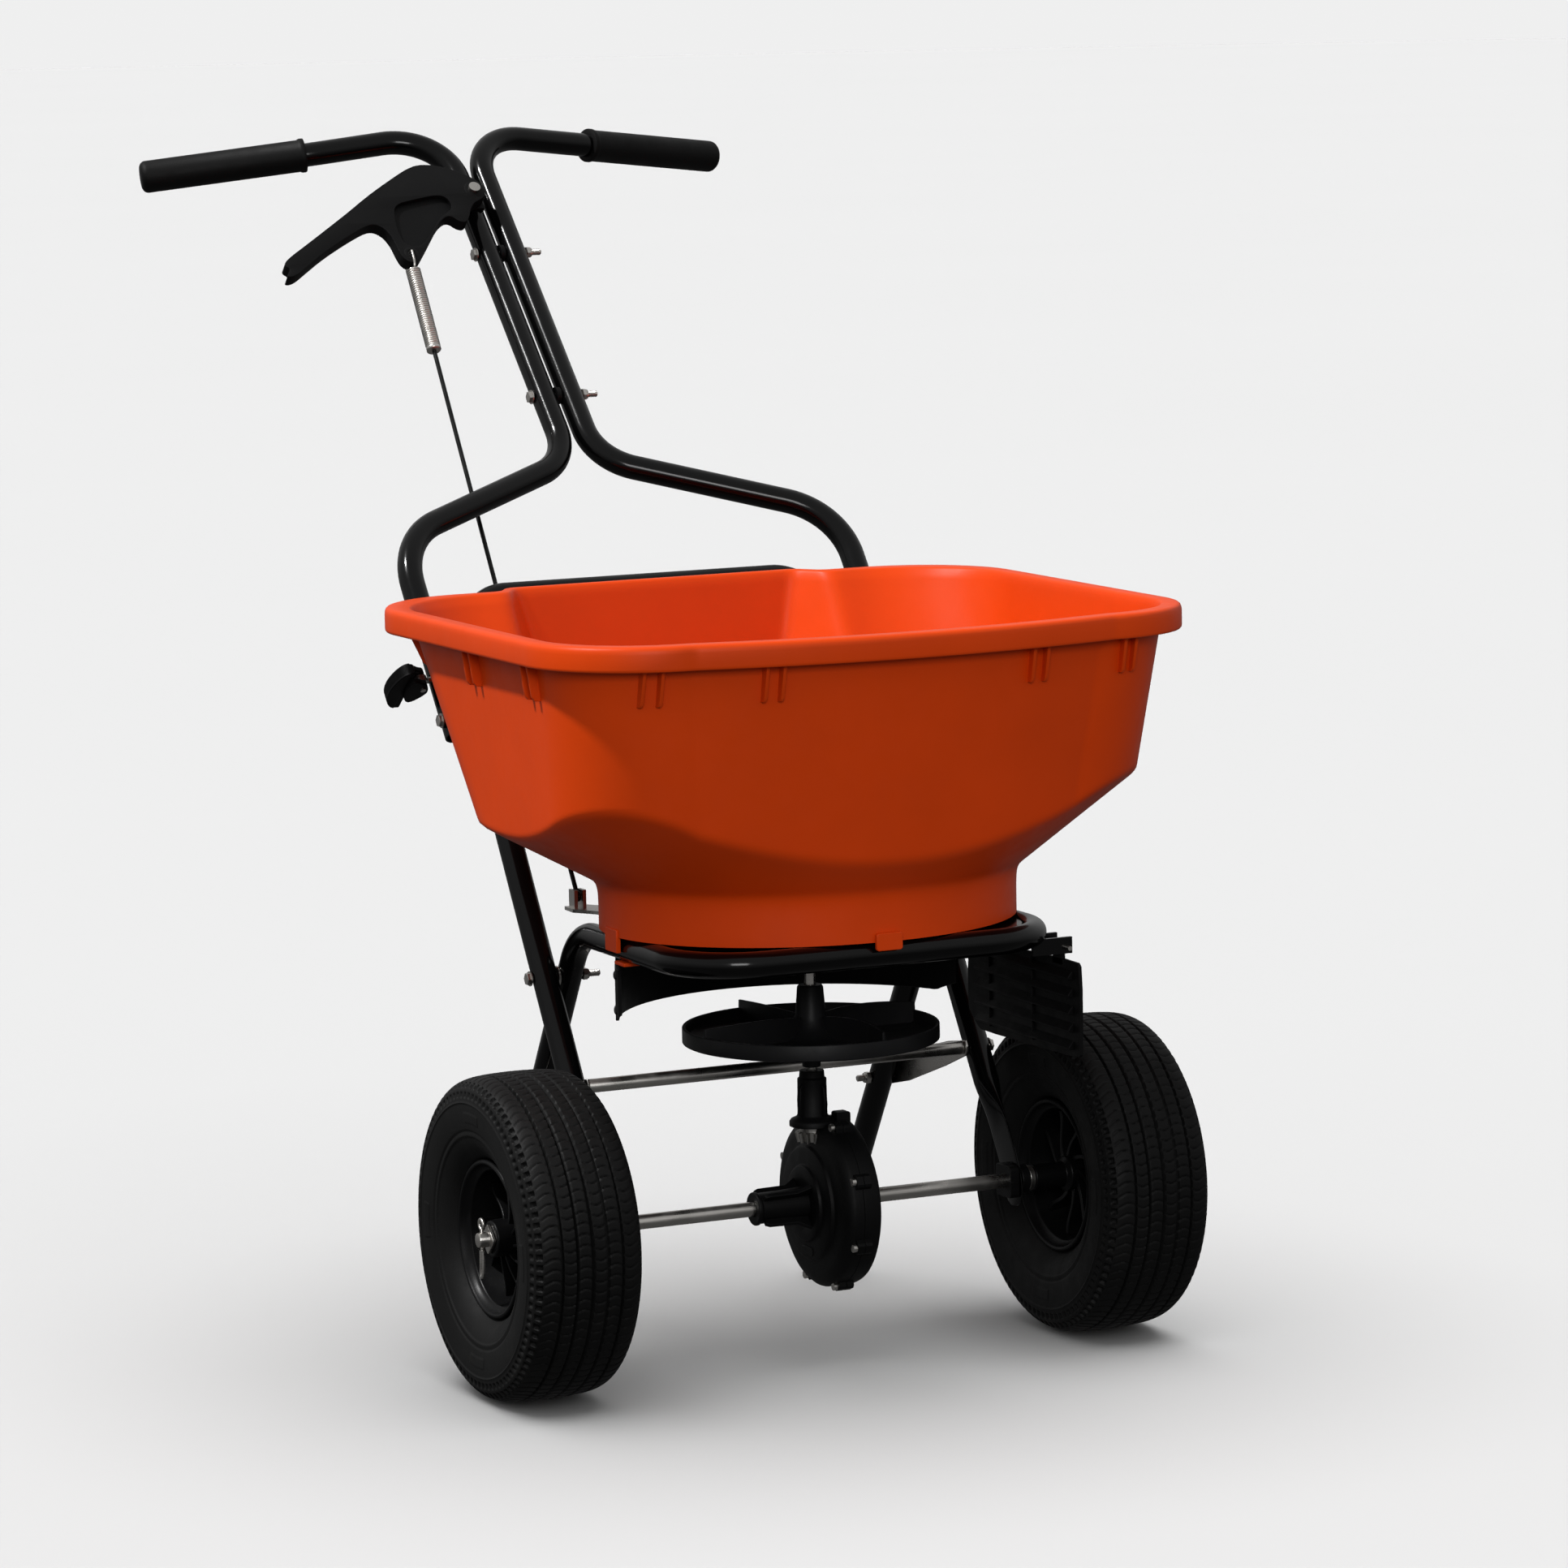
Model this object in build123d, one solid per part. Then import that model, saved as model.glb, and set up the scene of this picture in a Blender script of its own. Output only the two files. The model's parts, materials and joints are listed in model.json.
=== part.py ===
from build123d import *
from math import cos, pi, sin, sqrt, tan
import os

# Walk-behind rotary garden spreader, millimetres.
# Working frame: x across the machine, y from hopper front (-) to handle (+), z up from the floor,
# the wheel axle above y = 0 and the impeller shaft on x = y = 0.  The tyres stand on z = GROUND_Z.
# EXPORT_SHIFT puts the finished part on z = 0 with its box centred.

# ---------------------------------------------------------------- driving dimensions
GROUND_Z = -3.0
EXPORT_SHIFT = (0.0, -293.35, -GROUND_Z)
AXLE_Z = 135.0
AXLE_R = 6.35
RUN_GAP = 0.05
TUBE_R = 11.1
TUBE_WALL = 1.6

WHEEL_X = 266.0
TYRE_R = AXLE_Z - GROUND_Z
TYRE_HALF = 50.0
RIM_R = 65.0
HUB_OUT = 34.0
HUB_IN = 57.0
RIB_COUNT = 9

LEG_X = 192.6
LEG_RUN = 0.633
LEG_TOP_Z = 600.0
LEG_FLAT_Z = 205.0

RING_X = 168.0
RING_FRONT = -140.0
RING_Z = 370.0
RING_CORNER = 65.0
STAND_BREAK_Y = 102.0
STAND_RUN = 0.617
STAND_BEND = 55.0

GRIP_INNER = (135.8, 761.5, 1015.7)
GRIP_OUTER = (293.3, 801.0, 998.0)
GRIP_R = 15.0
BAR_TOP = (13.3, 745.8, 1030.0)
BAR_LOW = (13.3, 461.0, 741.3)
BAR_SIDE = (215.0, 374.0, 688.0)
BAR_END = (215.0, 250.6, 526.0)
BAR_BENDS = (100.0, 58.0, 58.0, 75.0)

BOW_X = 170.5
BOW_R = 9.5
BOW_TOP_Z = 638.0
BOW_LOW_Z = 512.0
BOW_RUN = 0.815
BOW_Y530 = 251.0
BOW_BEND = 40.0

HOPPER_WALL = 3.5
NECK_WALL = 1.8 * HOPPER_WALL
FLANGE_T = 4.0
HOPPER_TOP = 646.0
HOPPER_LOW = 412.0
FRONT_BOW = 26.0
RIM_DROP = 21.0
RIM_OUT = 9.0
NECK_A = 183.0
NECK_B = 152.0
NECK_TOP = 421.7
NECK_BOTTOM = 381.4
FLOOR_T = 4.0

GEAR_TEETH = 54
PINION_TEETH = 12
GEAR_MODULE = 2.3
FACE_WIDTH = 9.0

DRUM_R = 73.0
DRUM_X0 = -6.0
DRUM_X1 = 32.0
DRUM_WALL = 3.0
SHAFT_R = 4.76
IMPELLER_R = 110.0
IMPELLER_Z = 276.0
GUARD_R = 163.0

PORTS = ((-38.0, -50.0), (0.0, -63.0), (38.0, -50.0))
PORT_R = 13.0
SHUTTER_TRAVEL = 40.0
LEVER_OFFSET = 20.0

AXLE = Vector(0, 0, AXLE_Z)
SIDES = (("left", -1), ("right", 1))


# ---------------------------------------------------------------- helpers
def side(point, sign):
    return (point[0] * sign, point[1], point[2])


def rod(start, end, radius, bore=0.0):
    a, b = Vector(start), Vector(end)
    plane = Plane(origin=a, z_dir=b - a)
    body = extrude(plane * Circle(radius), (b - a).length)
    if bore > 0:
        body -= extrude(plane * Circle(bore), (b - a).length)
    return body


def rod_x(x0, x1, radius, y, z, bore=0.0):
    return rod((x0, y, z), (x1, y, z), radius, bore)


def rod_z(z0, z1, radius, x=0.0, y=0.0, bore=0.0):
    return rod((x, y, z0), (x, y, z1), radius, bore)


def block(x0, x1, y0, y1, z0, z1):
    centre = ((x0 + x1) / 2, (y0 + y1) / 2, (z0 + z1) / 2)
    return Pos(*centre) * Box(abs(x1 - x0), abs(y1 - y0), abs(z1 - z0))


def route(points, radii):
    """Centre line of a bent tube: straight runs joined by tangent arcs."""
    pts = [Vector(p) for p in points]
    edges, last = [], pts[0]
    for i, radius in enumerate(radii, start=1):
        back = (pts[i - 1] - pts[i]).normalized()
        ahead = (pts[i + 1] - pts[i]).normalized()
        half = back.get_angle(ahead) * pi / 360
        start = pts[i] + back * (radius / tan(half))
        end = pts[i] + ahead * (radius / tan(half))
        bisector = (back + ahead).normalized()
        middle = pts[i] + bisector * (radius / sin(half) - radius)
        edges += [Line(last, start), ThreePointArc(start, middle, end)]
        last = end
    edges.append(Line(last, pts[-1]))
    return Wire([e.edge() if hasattr(e, "edge") else e for e in edges])


def bent_tube(points, radii, radius, wall=TUBE_WALL):
    path = route(points, radii)
    plane = Plane(origin=path @ 0, z_dir=path % 0)
    outer = sweep(plane * Circle(radius), path=path)
    if wall <= 0:
        return outer
    return outer - sweep(plane * Circle(radius - wall), path=path)


def plate_x(x0, x1, outline, fillet_r=0.0):
    """Flat plate of (y, z) outline between two x planes."""
    face = make_face(Polyline(*[(x0, y, z) for y, z in outline], close=True))
    body = extrude(face, amount=x1 - x0, dir=(1, 0, 0))
    if fillet_r > 0:
        body = fillet(body.edges().filter_by(Axis.X), fillet_r)
    return body


def bolt_x(x_head, x_tip, y, z, radius=3.0, head=5.5, thick=4.0):
    """Hex bolt along x with a nut near its tip."""
    way = 1 if x_tip > x_head else -1
    plane = Plane(origin=(x_head, y, z), z_dir=(way, 0, 0))
    shank = extrude(plane * Circle(radius), abs(x_tip - x_head))
    cap = extrude(plane * RegularPolygon(head, 6), -thick)
    return shank + cap


def nut_x(x0, x1, y, z, radius=3.0, size=5.5):
    plane = Plane(origin=(x0, y, z), z_dir=(x1 - x0, 0, 0))
    return extrude(plane * (RegularPolygon(size, 6) - Circle(radius + 0.03)), abs(x1 - x0))


def leg_y(z):
    return (z - AXLE_Z) * LEG_RUN


def stand_y(z):
    return STAND_BREAK_Y + (RING_Z - z) * STAND_RUN


def bow_y(z):
    return BOW_Y530 + (z - 530.0) * BOW_RUN


def bar_side_y(z):
    return BAR_END[1] + (z - BAR_END[2]) * (BAR_SIDE[1] - BAR_END[1]) / (BAR_SIDE[2] - BAR_END[2])


FOOT_Z = 3.0
nodes = {}

# ---------------------------------------------------------------- frame tubes
CROSS_Z = 242.0
CROSS_Y = leg_y(CROSS_Z) + 2.0
STRAP_Z = 196.0
STRAP_X0 = RING_X + TUBE_R + 0.15
STRAP_X1 = LEG_X - TUBE_R - 0.15
MID_BOLT = (127.0, 329.0)
FOLD_BOLT = (281.5, 573.0)
LOW_BOLT = (256.0, 540.0)
DRILL = 3.1

for name, s in SIDES:
    leg = rod((s * LEG_X, leg_y(LEG_FLAT_Z), LEG_FLAT_Z), (s * LEG_X, leg_y(LEG_TOP_Z), LEG_TOP_Z),
              TUBE_R, TUBE_R - TUBE_WALL)
    along = Vector(0, LEG_RUN, 1).normalized()
    top_plane = Plane(origin=(s * LEG_X, leg_y(LEG_FLAT_Z), LEG_FLAT_Z), x_dir=(1, 0, 0), z_dir=along)
    low_z = LEG_FLAT_Z - 30.0
    low_plane = Plane(origin=(s * LEG_X, leg_y(low_z), low_z), x_dir=(1, 0, 0), z_dir=along)
    taper = loft([top_plane * Circle(TUBE_R), low_plane * SlotOverall(30.0, 4.0, rotation=90)])
    tongue = plate_x(s * LEG_X - 2.0, s * LEG_X + 2.0,
                     [(leg_y(low_z) - 12.6, low_z + 8.0), (leg_y(low_z) + 12.6, low_z - 8.0),
                      (14.5, 128.0), (6.0, 112.5), (-8.0, 112.5), (-15.5, 128.0)], 3.0)
    leg = leg + taper + tongue
    leg -= rod_x(s * LEG_X - 5, s * LEG_X + 5, 9.2, 0, AXLE_Z)
    for y, z in (MID_BOLT, FOLD_BOLT, LOW_BOLT, (CROSS_Y, CROSS_Z)):
        leg -= rod_x(s * (LEG_X - 20), s * (LEG_X + 20), DRILL, y, z)
    nodes["leg_" + name] = leg

ring_path = [(-RING_X, stand_y(FOOT_Z), FOOT_Z), (-RING_X, STAND_BREAK_Y, RING_Z), (-RING_X, RING_FRONT, RING_Z),
             (RING_X, RING_FRONT, RING_Z), (RING_X, STAND_BREAK_Y, RING_Z), (RING_X, stand_y(FOOT_Z), FOOT_Z)]
base_tube = bent_tube(ring_path, (STAND_BEND, RING_CORNER, RING_CORNER, STAND_BEND), TUBE_R)
for _, s in SIDES:
    for y, z in (MID_BOLT, (stand_y(STRAP_Z), STRAP_Z)):
        base_tube -= rod_x(s * (RING_X - 20), s * (RING_X + 20), DRILL, y, z)
nodes["base_tube"] = base_tube

feet = []
for _, s in SIDES:
    top = (s * RING_X, stand_y(30.0), 30.0)
    low = (s * RING_X, stand_y(-25.0), -25.0)
    foot = rod(top, low, 14.0) & block(s * RING_X - 30, s * RING_X + 30, 250, 400, GROUND_Z, 60)
    foot -= rod(top, (s * RING_X, stand_y(FOOT_Z - 0.3), FOOT_Z - 0.3), TUBE_R + 0.05)
    feet.append(foot)
nodes["stand_feet"] = Compound(children=feet)

crossbar = rod_x(-STRAP_X0 + 0.1, STRAP_X0 - 0.1, 6.0, CROSS_Y, CROSS_Z)
for _, s in SIDES:
    crossbar -= rod_x(s * 162.0, s * 182.0, DRILL, CROSS_Y, CROSS_Z)
nodes["crossbar"] = crossbar

for name, s in SIDES:
    strap = plate_x(s * STRAP_X0, s * STRAP_X1, [
        (CROSS_Y - 3.0, CROSS_Z - 9.0), (CROSS_Y - 10.0, CROSS_Z), (CROSS_Y - 4.0, CROSS_Z + 9.5),
        (stand_y(STRAP_Z) - 17.0, STRAP_Z + 24.0), (stand_y(STRAP_Z) + 11.0, STRAP_Z + 2.0),
        (stand_y(STRAP_Z) + 6.0, STRAP_Z - 13.0)], 1.5)
    strap -= rod_x(s * 170, s * 190, DRILL, stand_y(STRAP_Z), STRAP_Z)
    strap -= rod_x(s * 170, s * 190, DRILL, CROSS_Y, CROSS_Z)
    nodes["strap_" + name] = strap

bow_points = [(-BOW_X, bow_y(BOW_LOW_Z), BOW_LOW_Z), (-BOW_X, bow_y(BOW_TOP_Z), BOW_TOP_Z),
              (BOW_X, bow_y(BOW_TOP_Z), BOW_TOP_Z), (BOW_X, bow_y(BOW_LOW_Z), BOW_LOW_Z)]
bow = bent_tube(bow_points, (BOW_BEND, BOW_BEND), BOW_R, 1.5)
for _, s in SIDES:
    for y, z in (FOLD_BOLT, LOW_BOLT):
        bow -= rod_x(s * (BOW_X - 20), s * (BOW_X + 20), DRILL, y, z)
nodes["rear_bow"] = bow

# ---------------------------------------------------------------- handle
bar_dir = (Vector(BAR_LOW) - Vector(BAR_TOP)).normalized()
HANDLE_BOLTS = [Vector(BAR_TOP) + bar_dir * d for d in (152.0, 328.0)]

for name, s in SIDES:
    grip_dir = (Vector(GRIP_OUTER) - Vector(GRIP_INNER)).normalized()
    tube_end = Vector(GRIP_OUTER) - grip_dir * 5.0
    points = [side(p, s) for p in (tuple(tube_end), GRIP_INNER, BAR_TOP, BAR_LOW, BAR_SIDE, BAR_END)]
    handle = bent_tube(points, BAR_BENDS, TUBE_R)
    for at in HANDLE_BOLTS:
        handle -= rod_x(-30, 30, DRILL, at.Y, at.Z)
    for y, z in (FOLD_BOLT, LOW_BOLT):
        handle -= rod_x(s * 195, s * 235, DRILL, y, z)
    nodes["handle_" + name] = handle

    grip_start = Vector(GRIP_INNER) + grip_dir * 8.0
    grip = rod(side(tuple(grip_start), s), side(GRIP_OUTER, s), GRIP_R)
    grip -= rod(side(tuple(grip_start), s), side(tuple(tube_end + grip_dir * 0.3), s), TUBE_R + 0.05)
    outer_face = grip.faces().sort_by(Axis.X)[-1 if s > 0 else 0]
    nodes["grip_" + name] = fillet(outer_face.outer_wire().edges(), 4.0)

spacers, handle_bolts = [], []
for at in HANDLE_BOLTS:
    spacers.append(rod_x(-2.1, 2.1, 8.0, at.Y, at.Z, DRILL))
    handle_bolts.append(bolt_x(-25.2, 39.0, at.Y, at.Z))
    handle_bolts.append(nut_x(24.8, 29.0, at.Y, at.Z))
nodes["handle_spacers"] = Compound(children=spacers)
nodes["handle_bolts"] = Compound(children=handle_bolts)

# ---------------------------------------------------------------- frame fasteners
frame_bolts, frame_spacers, fold_posts = [], [], []
for _, s in SIDES:
    y, z = MID_BOLT
    frame_bolts.append(bolt_x(s * 204.4, s * 140.0, y, z))
    frame_bolts.append(nut_x(s * 156.5, s * 151.5, y, z))
    frame_spacers.append(rod_x(s * 179.4, s * 181.2, 9.0, y, z, DRILL))
    y, z = stand_y(STRAP_Z), STRAP_Z
    frame_bolts.append(bolt_x(s * 181.5, s * 144.0, y, z))
    frame_bolts.append(nut_x(s * 156.5, s * 151.5, y, z))
    frame_bolts.append(bolt_x(s * 204.4, s * 164.0, CROSS_Y, CROSS_Z))
    y, z = LOW_BOLT
    frame_bolts.append(bolt_x(s * 227.4, s * 146.0, y, z))
    frame_bolts.append(nut_x(s * 160.6, s * 155.6, y, z))
    y, z = FOLD_BOLT
    fold_posts.append(rod_x(s * 229.0, s * 150.0, 3.0, y, z))
    fold_posts.append(nut_x(s * 160.6, s * 155.6, y, z))
nodes["frame_bolts"] = Compound(children=frame_bolts)
nodes["frame_spacers"] = Compound(children=frame_spacers)

# Cam levers that clamp the folding handle: eye of the post, cross pin and lever.
tube_dir = (Vector(BAR_SIDE) - Vector(BAR_END)).normalized()
fold_dir = Vector(0, tube_dir.Z, -tube_dir.Y)
EYE_X = 236.0
fold_pins = []
for i, (name, s) in enumerate(SIDES):
    centre = Vector(s * EYE_X, FOLD_BOLT[0], FOLD_BOLT[1])
    plane = Plane(origin=centre, x_dir=(s, 0, 0), z_dir=tube_dir)
    eye = extrude(plane * (Circle(6.0) - Circle(2.55)), amount=3.0, both=True)
    fold_posts[2 * i] = fold_posts[2 * i] + eye
    pin = extrude(plane * Circle(2.5), amount=10.5, both=True)
    fold_pins.append(pin)
    sketch = Sketch() + Circle(8.0)
    arm = [(-2.0, -8.0), (3.0, -9.0), (10.0, -25.0), (17.0, -31.0), (24.0, -24.0), (28.5, -8.0),
           (29.5, 8.0), (27.5, 26.0), (21.0, 39.0), (12.0, 43.0), (5.0, 41.0), (3.0, 30.0),
           (0.5, 22.0), (-4.0, 12.0), (-7.0, 5.0)]
    if plane.y_dir.Y < 0:
        arm = [(u, -v) for u, v in arm]
    sketch += make_face(Polyline(*arm, close=True))
    lever = extrude(plane * sketch, amount=9.5, both=True)
    lever -= extrude(plane * Circle(2.6), amount=12.0, both=True)
    slot_v = -1 if plane.y_dir.Y < 0 else 1
    slot = Pos(0, -slot_v * 1.5) * Rectangle(40.0, 21.0)
    lever -= extrude(plane * slot, amount=3.4, both=True)
    nodes["fold_lever_" + name] = lever
nodes["fold_posts"] = Compound(children=fold_posts)
nodes["fold_pins"] = Compound(children=fold_pins)

# ---------------------------------------------------------------- hopper
def rounded_outline(half, front, rear, r_front, r_rear, z):
    """Closed outline: bowed front, rounded corners, straight rear."""
    y_side = front + FRONT_BOW
    c45 = 1 - sqrt(0.5)
    left = Line((-half, rear - r_rear, z), (-half, y_side + r_front, z))
    left_front = ThreePointArc((-half, y_side + r_front, z),
                               (-half + c45 * r_front, y_side + c45 * r_front, z),
                               (-half + r_front, y_side, z))
    front_arc = ThreePointArc((-half + r_front, y_side, z), (0, front, z), (half - r_front, y_side, z))
    right_front = ThreePointArc((half - r_front, y_side, z),
                                (half - c45 * r_front, y_side + c45 * r_front, z),
                                (half, y_side + r_front, z))
    right = Line((half, y_side + r_front, z), (half, rear - r_rear, z))
    right_rear = ThreePointArc((half, rear - r_rear, z), (half - c45 * r_rear, rear - c45 * r_rear, z),
                               (half - r_rear, rear, z))
    back = Line((half - r_rear, rear, z), (-half + r_rear, rear, z))
    left_rear = ThreePointArc((-half + r_rear, rear, z), (-half + c45 * r_rear, rear - c45 * r_rear, z),
                              (-half, rear - r_rear, z))
    return make_face([left, left_front, front_arc, right_front, right, right_rear, back, left_rear])


def wall_section(z, inset):
    drop = HOPPER_TOP - z
    return rounded_outline(282.5 - 0.11 * drop - inset, -213.5 + 0.164 * drop + inset,
                           274.0 - 0.57 * drop - inset, 92.0 - inset, 104.0 - inset, z)


def bulge_section(z, inset):
    drop = HOPPER_TOP - z
    rear = 305.0 - 0.2 * drop - inset
    near = 240.0 - 0.53 * drop
    out = 137.0 - 0.24 * drop - inset
    base = out + (rear - near) * 0.62
    points = [(-base, near, z), (-out, rear, z), (out, rear, z), (base, near, z)]
    return make_face(Polyline(*points, close=True))


def funnel_section(z, inset):
    rise = z - NECK_TOP - inset * 1.35
    centre = Pos(0, 0.81 * rise, z)
    return centre * Ellipse(NECK_A + 1.74 * rise - inset * 0.2, NECK_B + 1.8 * rise - inset * 0.2)


def hopper_solid(inset, neck_inset, top):
    walls = loft([wall_section(HOPPER_LOW, inset), wall_section(top, inset)], ruled=True)
    bulge = loft([bulge_section(HOPPER_LOW + 4.0, inset), bulge_section(top, inset)], ruled=True)
    funnel = loft([funnel_section(HOPPER_LOW + 8.0 + inset * 1.3, inset), funnel_section(700.0, inset)],
                  ruled=True)
    neck = Pos(0, 0, NECK_BOTTOM) * extrude(Ellipse(NECK_A - neck_inset, NECK_B - neck_inset),
                                            NECK_TOP + 5.0 - NECK_BOTTOM)
    return (walls + bulge) & funnel, neck


def rim_outline(out):
    around = rounded_outline(288.0 + out, -219.0 - out, 281.0 + out, 96.0 + out, 93.0 + out, HOPPER_TOP)
    return around + bulge_section(HOPPER_TOP, -out)


outer_walls, outer_neck = hopper_solid(0.0, 0.0, HOPPER_TOP)
inner_walls, inner_neck = hopper_solid(HOPPER_WALL, NECK_WALL, HOPPER_TOP + 1.0)
lip = extrude(rim_outline(RIM_OUT), -RIM_DROP) - extrude(rim_outline(RIM_OUT - 3.0), -RIM_DROP)
mouth = wall_section(HOPPER_TOP, HOPPER_WALL) + bulge_section(HOPPER_TOP, HOPPER_WALL)
flange = extrude(rim_outline(RIM_OUT), -FLANGE_T) - extrude(mouth, -FLANGE_T)
hopper = outer_walls + outer_neck + flange + lip
hopper = hopper - inner_walls - inner_neck

# Gussets under the rim, carried by the wall and tucked behind the lip.
GUSSET_LOW = HOPPER_TOP - 52.0
FRONT_GUSSETS = (-228.0, -214.0, -129.0, -115.0, 113.0, 127.0, 208.0, 220.0)
SIDE_GUSSETS = (-80.0, -66.0, 44.0, 58.0)
gussets = []
for x in FRONT_GUSSETS:
    gussets.append(block(x - 1.6, x + 1.6, -232.0, -150.0, GUSSET_LOW, HOPPER_TOP - 2.0))
for s in (-1, 1):
    for y in SIDE_GUSSETS:
        gussets.append(block(s * 240.0, s * 300.0, y - 1.6, y + 1.6, GUSSET_LOW, HOPPER_TOP - 2.0))
    corner = block(96.0, 124.0, -1.6, 1.6, GUSSET_LOW, HOPPER_TOP - 2.0)
    gussets.append(Pos(s * 178.5, 170.0, 0) * Rot(0, 0, 90.0 - s * 65.0) * corner)
gusset_zone = loft([wall_section(GUSSET_LOW, -4.0), wall_section(HOPPER_TOP, -12.5)], ruled=True)
gusset_zone -= outer_walls
for g in gussets:
    hopper += g & gusset_zone

# C-shaped clips that hold the neck on the base tube: front, left and right.
hopper += block(-12.0, 12.0, -NECK_B - 4.4, -NECK_B + 0.4, 374.5, NECK_BOTTOM + 6.0)
for s in (-1, 1):
    hopper += block(s * (NECK_A - 3.0), s * (NECK_A + 1.5), -12.0, 12.0, 368.0, NECK_BOTTOM + 6.0)
    hopper += block(s * 150.5, s * 154.5, -10.0, 10.0, 353.0, NECK_BOTTOM + 0.5)
    hopper += block(s * 150.5, s * 180.0, -10.0, 10.0, 352.5, 356.5)
hopper += Pos(0, 0, NECK_BOTTOM) * extrude(Ellipse(NECK_A - 1.0, NECK_B - 1.0), FLOOR_T)
for x, y in PORTS:
    hopper -= rod_z(376, 392, PORT_R, x, y)
hopper -= rod_z(376, 392, SHAFT_R + RUN_GAP)
nodes["hopper"] = hopper

# ---------------------------------------------------------------- base plate and shutter
PLATE_Z = 375.5
PLATE_T = 2.0
PLATE_REACH = sqrt(TUBE_R ** 2 - (PLATE_Z - RING_Z) ** 2) + 0.05
plate_half = RING_X - PLATE_REACH
plate_front = RING_FRONT + PLATE_REACH
plate_face = Pos(0, plate_front + 130.0) * Rectangle(2 * plate_half, 260.0)
plate_face = fillet(plate_face.vertices().sort_by(Axis.Y)[:2], RING_CORNER - PLATE_REACH)
plate_face &= Circle(GUARD_R + 3.0) + Pos(0, -100.0) * Rectangle(400.0, 200.0)
base_plate = extrude(Pos(0, 0, PLATE_Z) * plate_face, PLATE_T)
window = fillet(Rectangle(122.0, 52.0).vertices(), 8.0)
base_plate -= Pos(0, -56.0, PLATE_Z - 1.0) * extrude(window, PLATE_T + 2.0)
base_plate -= rod_z(360, 380, 11.0)
for s in (-1, 1):
    base_plate -= block(s * 148.0, s * 190.0, -13.0, 13.0, 360, 380)
nodes["base_plate"] = base_plate

SHUTTER_Z = PLATE_Z + PLATE_T + 0.4
SHUTTER_T = 3.0
shutter = block(-60, 60, -122.0, 46.0, SHUTTER_Z, SHUTTER_Z + SHUTTER_T)
for x, y in PORTS:
    shutter -= rod_z(370, 385, PORT_R, x, y - SHUTTER_TRAVEL)
shaft_slot = SlotCenterToCenter(SHUTTER_TRAVEL, 19.0, rotation=90)
shutter -= Pos(0, -SHUTTER_TRAVEL / 2, 370.0) * extrude(shaft_slot, 15.0)
arm_face = make_face(Polyline((-60, 16, SHUTTER_Z), (-34, 46, SHUTTER_Z), (-130, 176, SHUTTER_Z),
                              (-150, 176, SHUTTER_Z), (-151, 156, SHUTTER_Z), close=True))
shutter += extrude(arm_face, SHUTTER_T)
ROD_LOW = (-141.0, 168.0, 390.0)
EAR_T = 3.2
for x in (ROD_LOW[0] - 2.4 - EAR_T, ROD_LOW[0] + 2.4):
    shutter += block(x, x + EAR_T, ROD_LOW[1] - 6, ROD_LOW[1] + 6, SHUTTER_Z + 1.0, ROD_LOW[2] + 6.0)
shutter += rod_x(ROD_LOW[0] - 3.0, ROD_LOW[0] + 3.0, 2.0, ROD_LOW[1], ROD_LOW[2])
nodes["shutter"] = shutter

# ---------------------------------------------------------------- control lever, rod and spring
lever_n = Vector(0, bar_dir.Z, -bar_dir.Y)
lever_plane = Plane(origin=Vector(0, BAR_TOP[1], BAR_TOP[2]) + lever_n * LEVER_OFFSET,
                    x_dir=(1, 0, 0), z_dir=lever_n)
FLIP = 1.0 if lever_plane.y_dir.dot(bar_dir) > 0 else -1.0


def lp(x, s):
    return (x, s * FLIP)


LEVER_PIVOT = (-16.0, 93.6)
LEVER_PIN = (-101.7, 169.2)
blade = [(-6, 96), (-8, 84), (-22, 74), (-40, 64), (-60, 60), (-74, 64), (-123, 97), (-175, 136),
         (-224, 171), (-228, 180), (-222, 184), (-230, 193), (-222, 193), (-187, 165), (-147, 140),
         (-128, 129), (-117, 134), (-113, 150), (-113, 172), (-107, 180), (-98, 181), (-92, 174),
         (-62, 132), (-50, 124), (-42, 133), (-34, 133), (-24, 112), (-12, 106)]
blade_face = make_face(Polyline(*[lp(x, s) for x, s in blade], close=True))
lever = extrude(lever_plane * blade_face, amount=6.0, both=True)
lever -= extrude(lever_plane * Pos(*lp(*LEVER_PIVOT)) * Circle(3.05), amount=12.0, both=True)
lever -= extrude(lever_plane * Pos(*lp(*LEVER_PIN)) * Circle(3.6), amount=12.0, both=True)
nodes["control_lever"] = lever

clamp_plane = Plane(origin=Vector(-BAR_TOP[0], BAR_TOP[1], BAR_TOP[2]), x_dir=(1, 0, 0), z_dir=lever_n)
clamp_box = Pos(*lp(-3.6, 93.6)) * Rectangle(23.0, 26.0)
clamp = extrude(clamp_plane * clamp_box, amount=13.4, both=True)
bar_axis_start = Vector(-BAR_TOP[0], BAR_TOP[1], BAR_TOP[2]) + bar_dir * 60.0
clamp -= rod(tuple(bar_axis_start), tuple(bar_axis_start + bar_dir * 70.0), TUBE_R + 0.05)
nodes["lever_clamp"] = clamp
pin_body = extrude(lever_plane.offset(-6.6) * Pos(*lp(*LEVER_PIVOT)) * Circle(3.0), 16.0)
pin_body += extrude(lever_plane.offset(6.6) * Pos(*lp(*LEVER_PIVOT)) * Circle(5.5), 3.0)
nodes["lever_pin"] = pin_body

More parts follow.
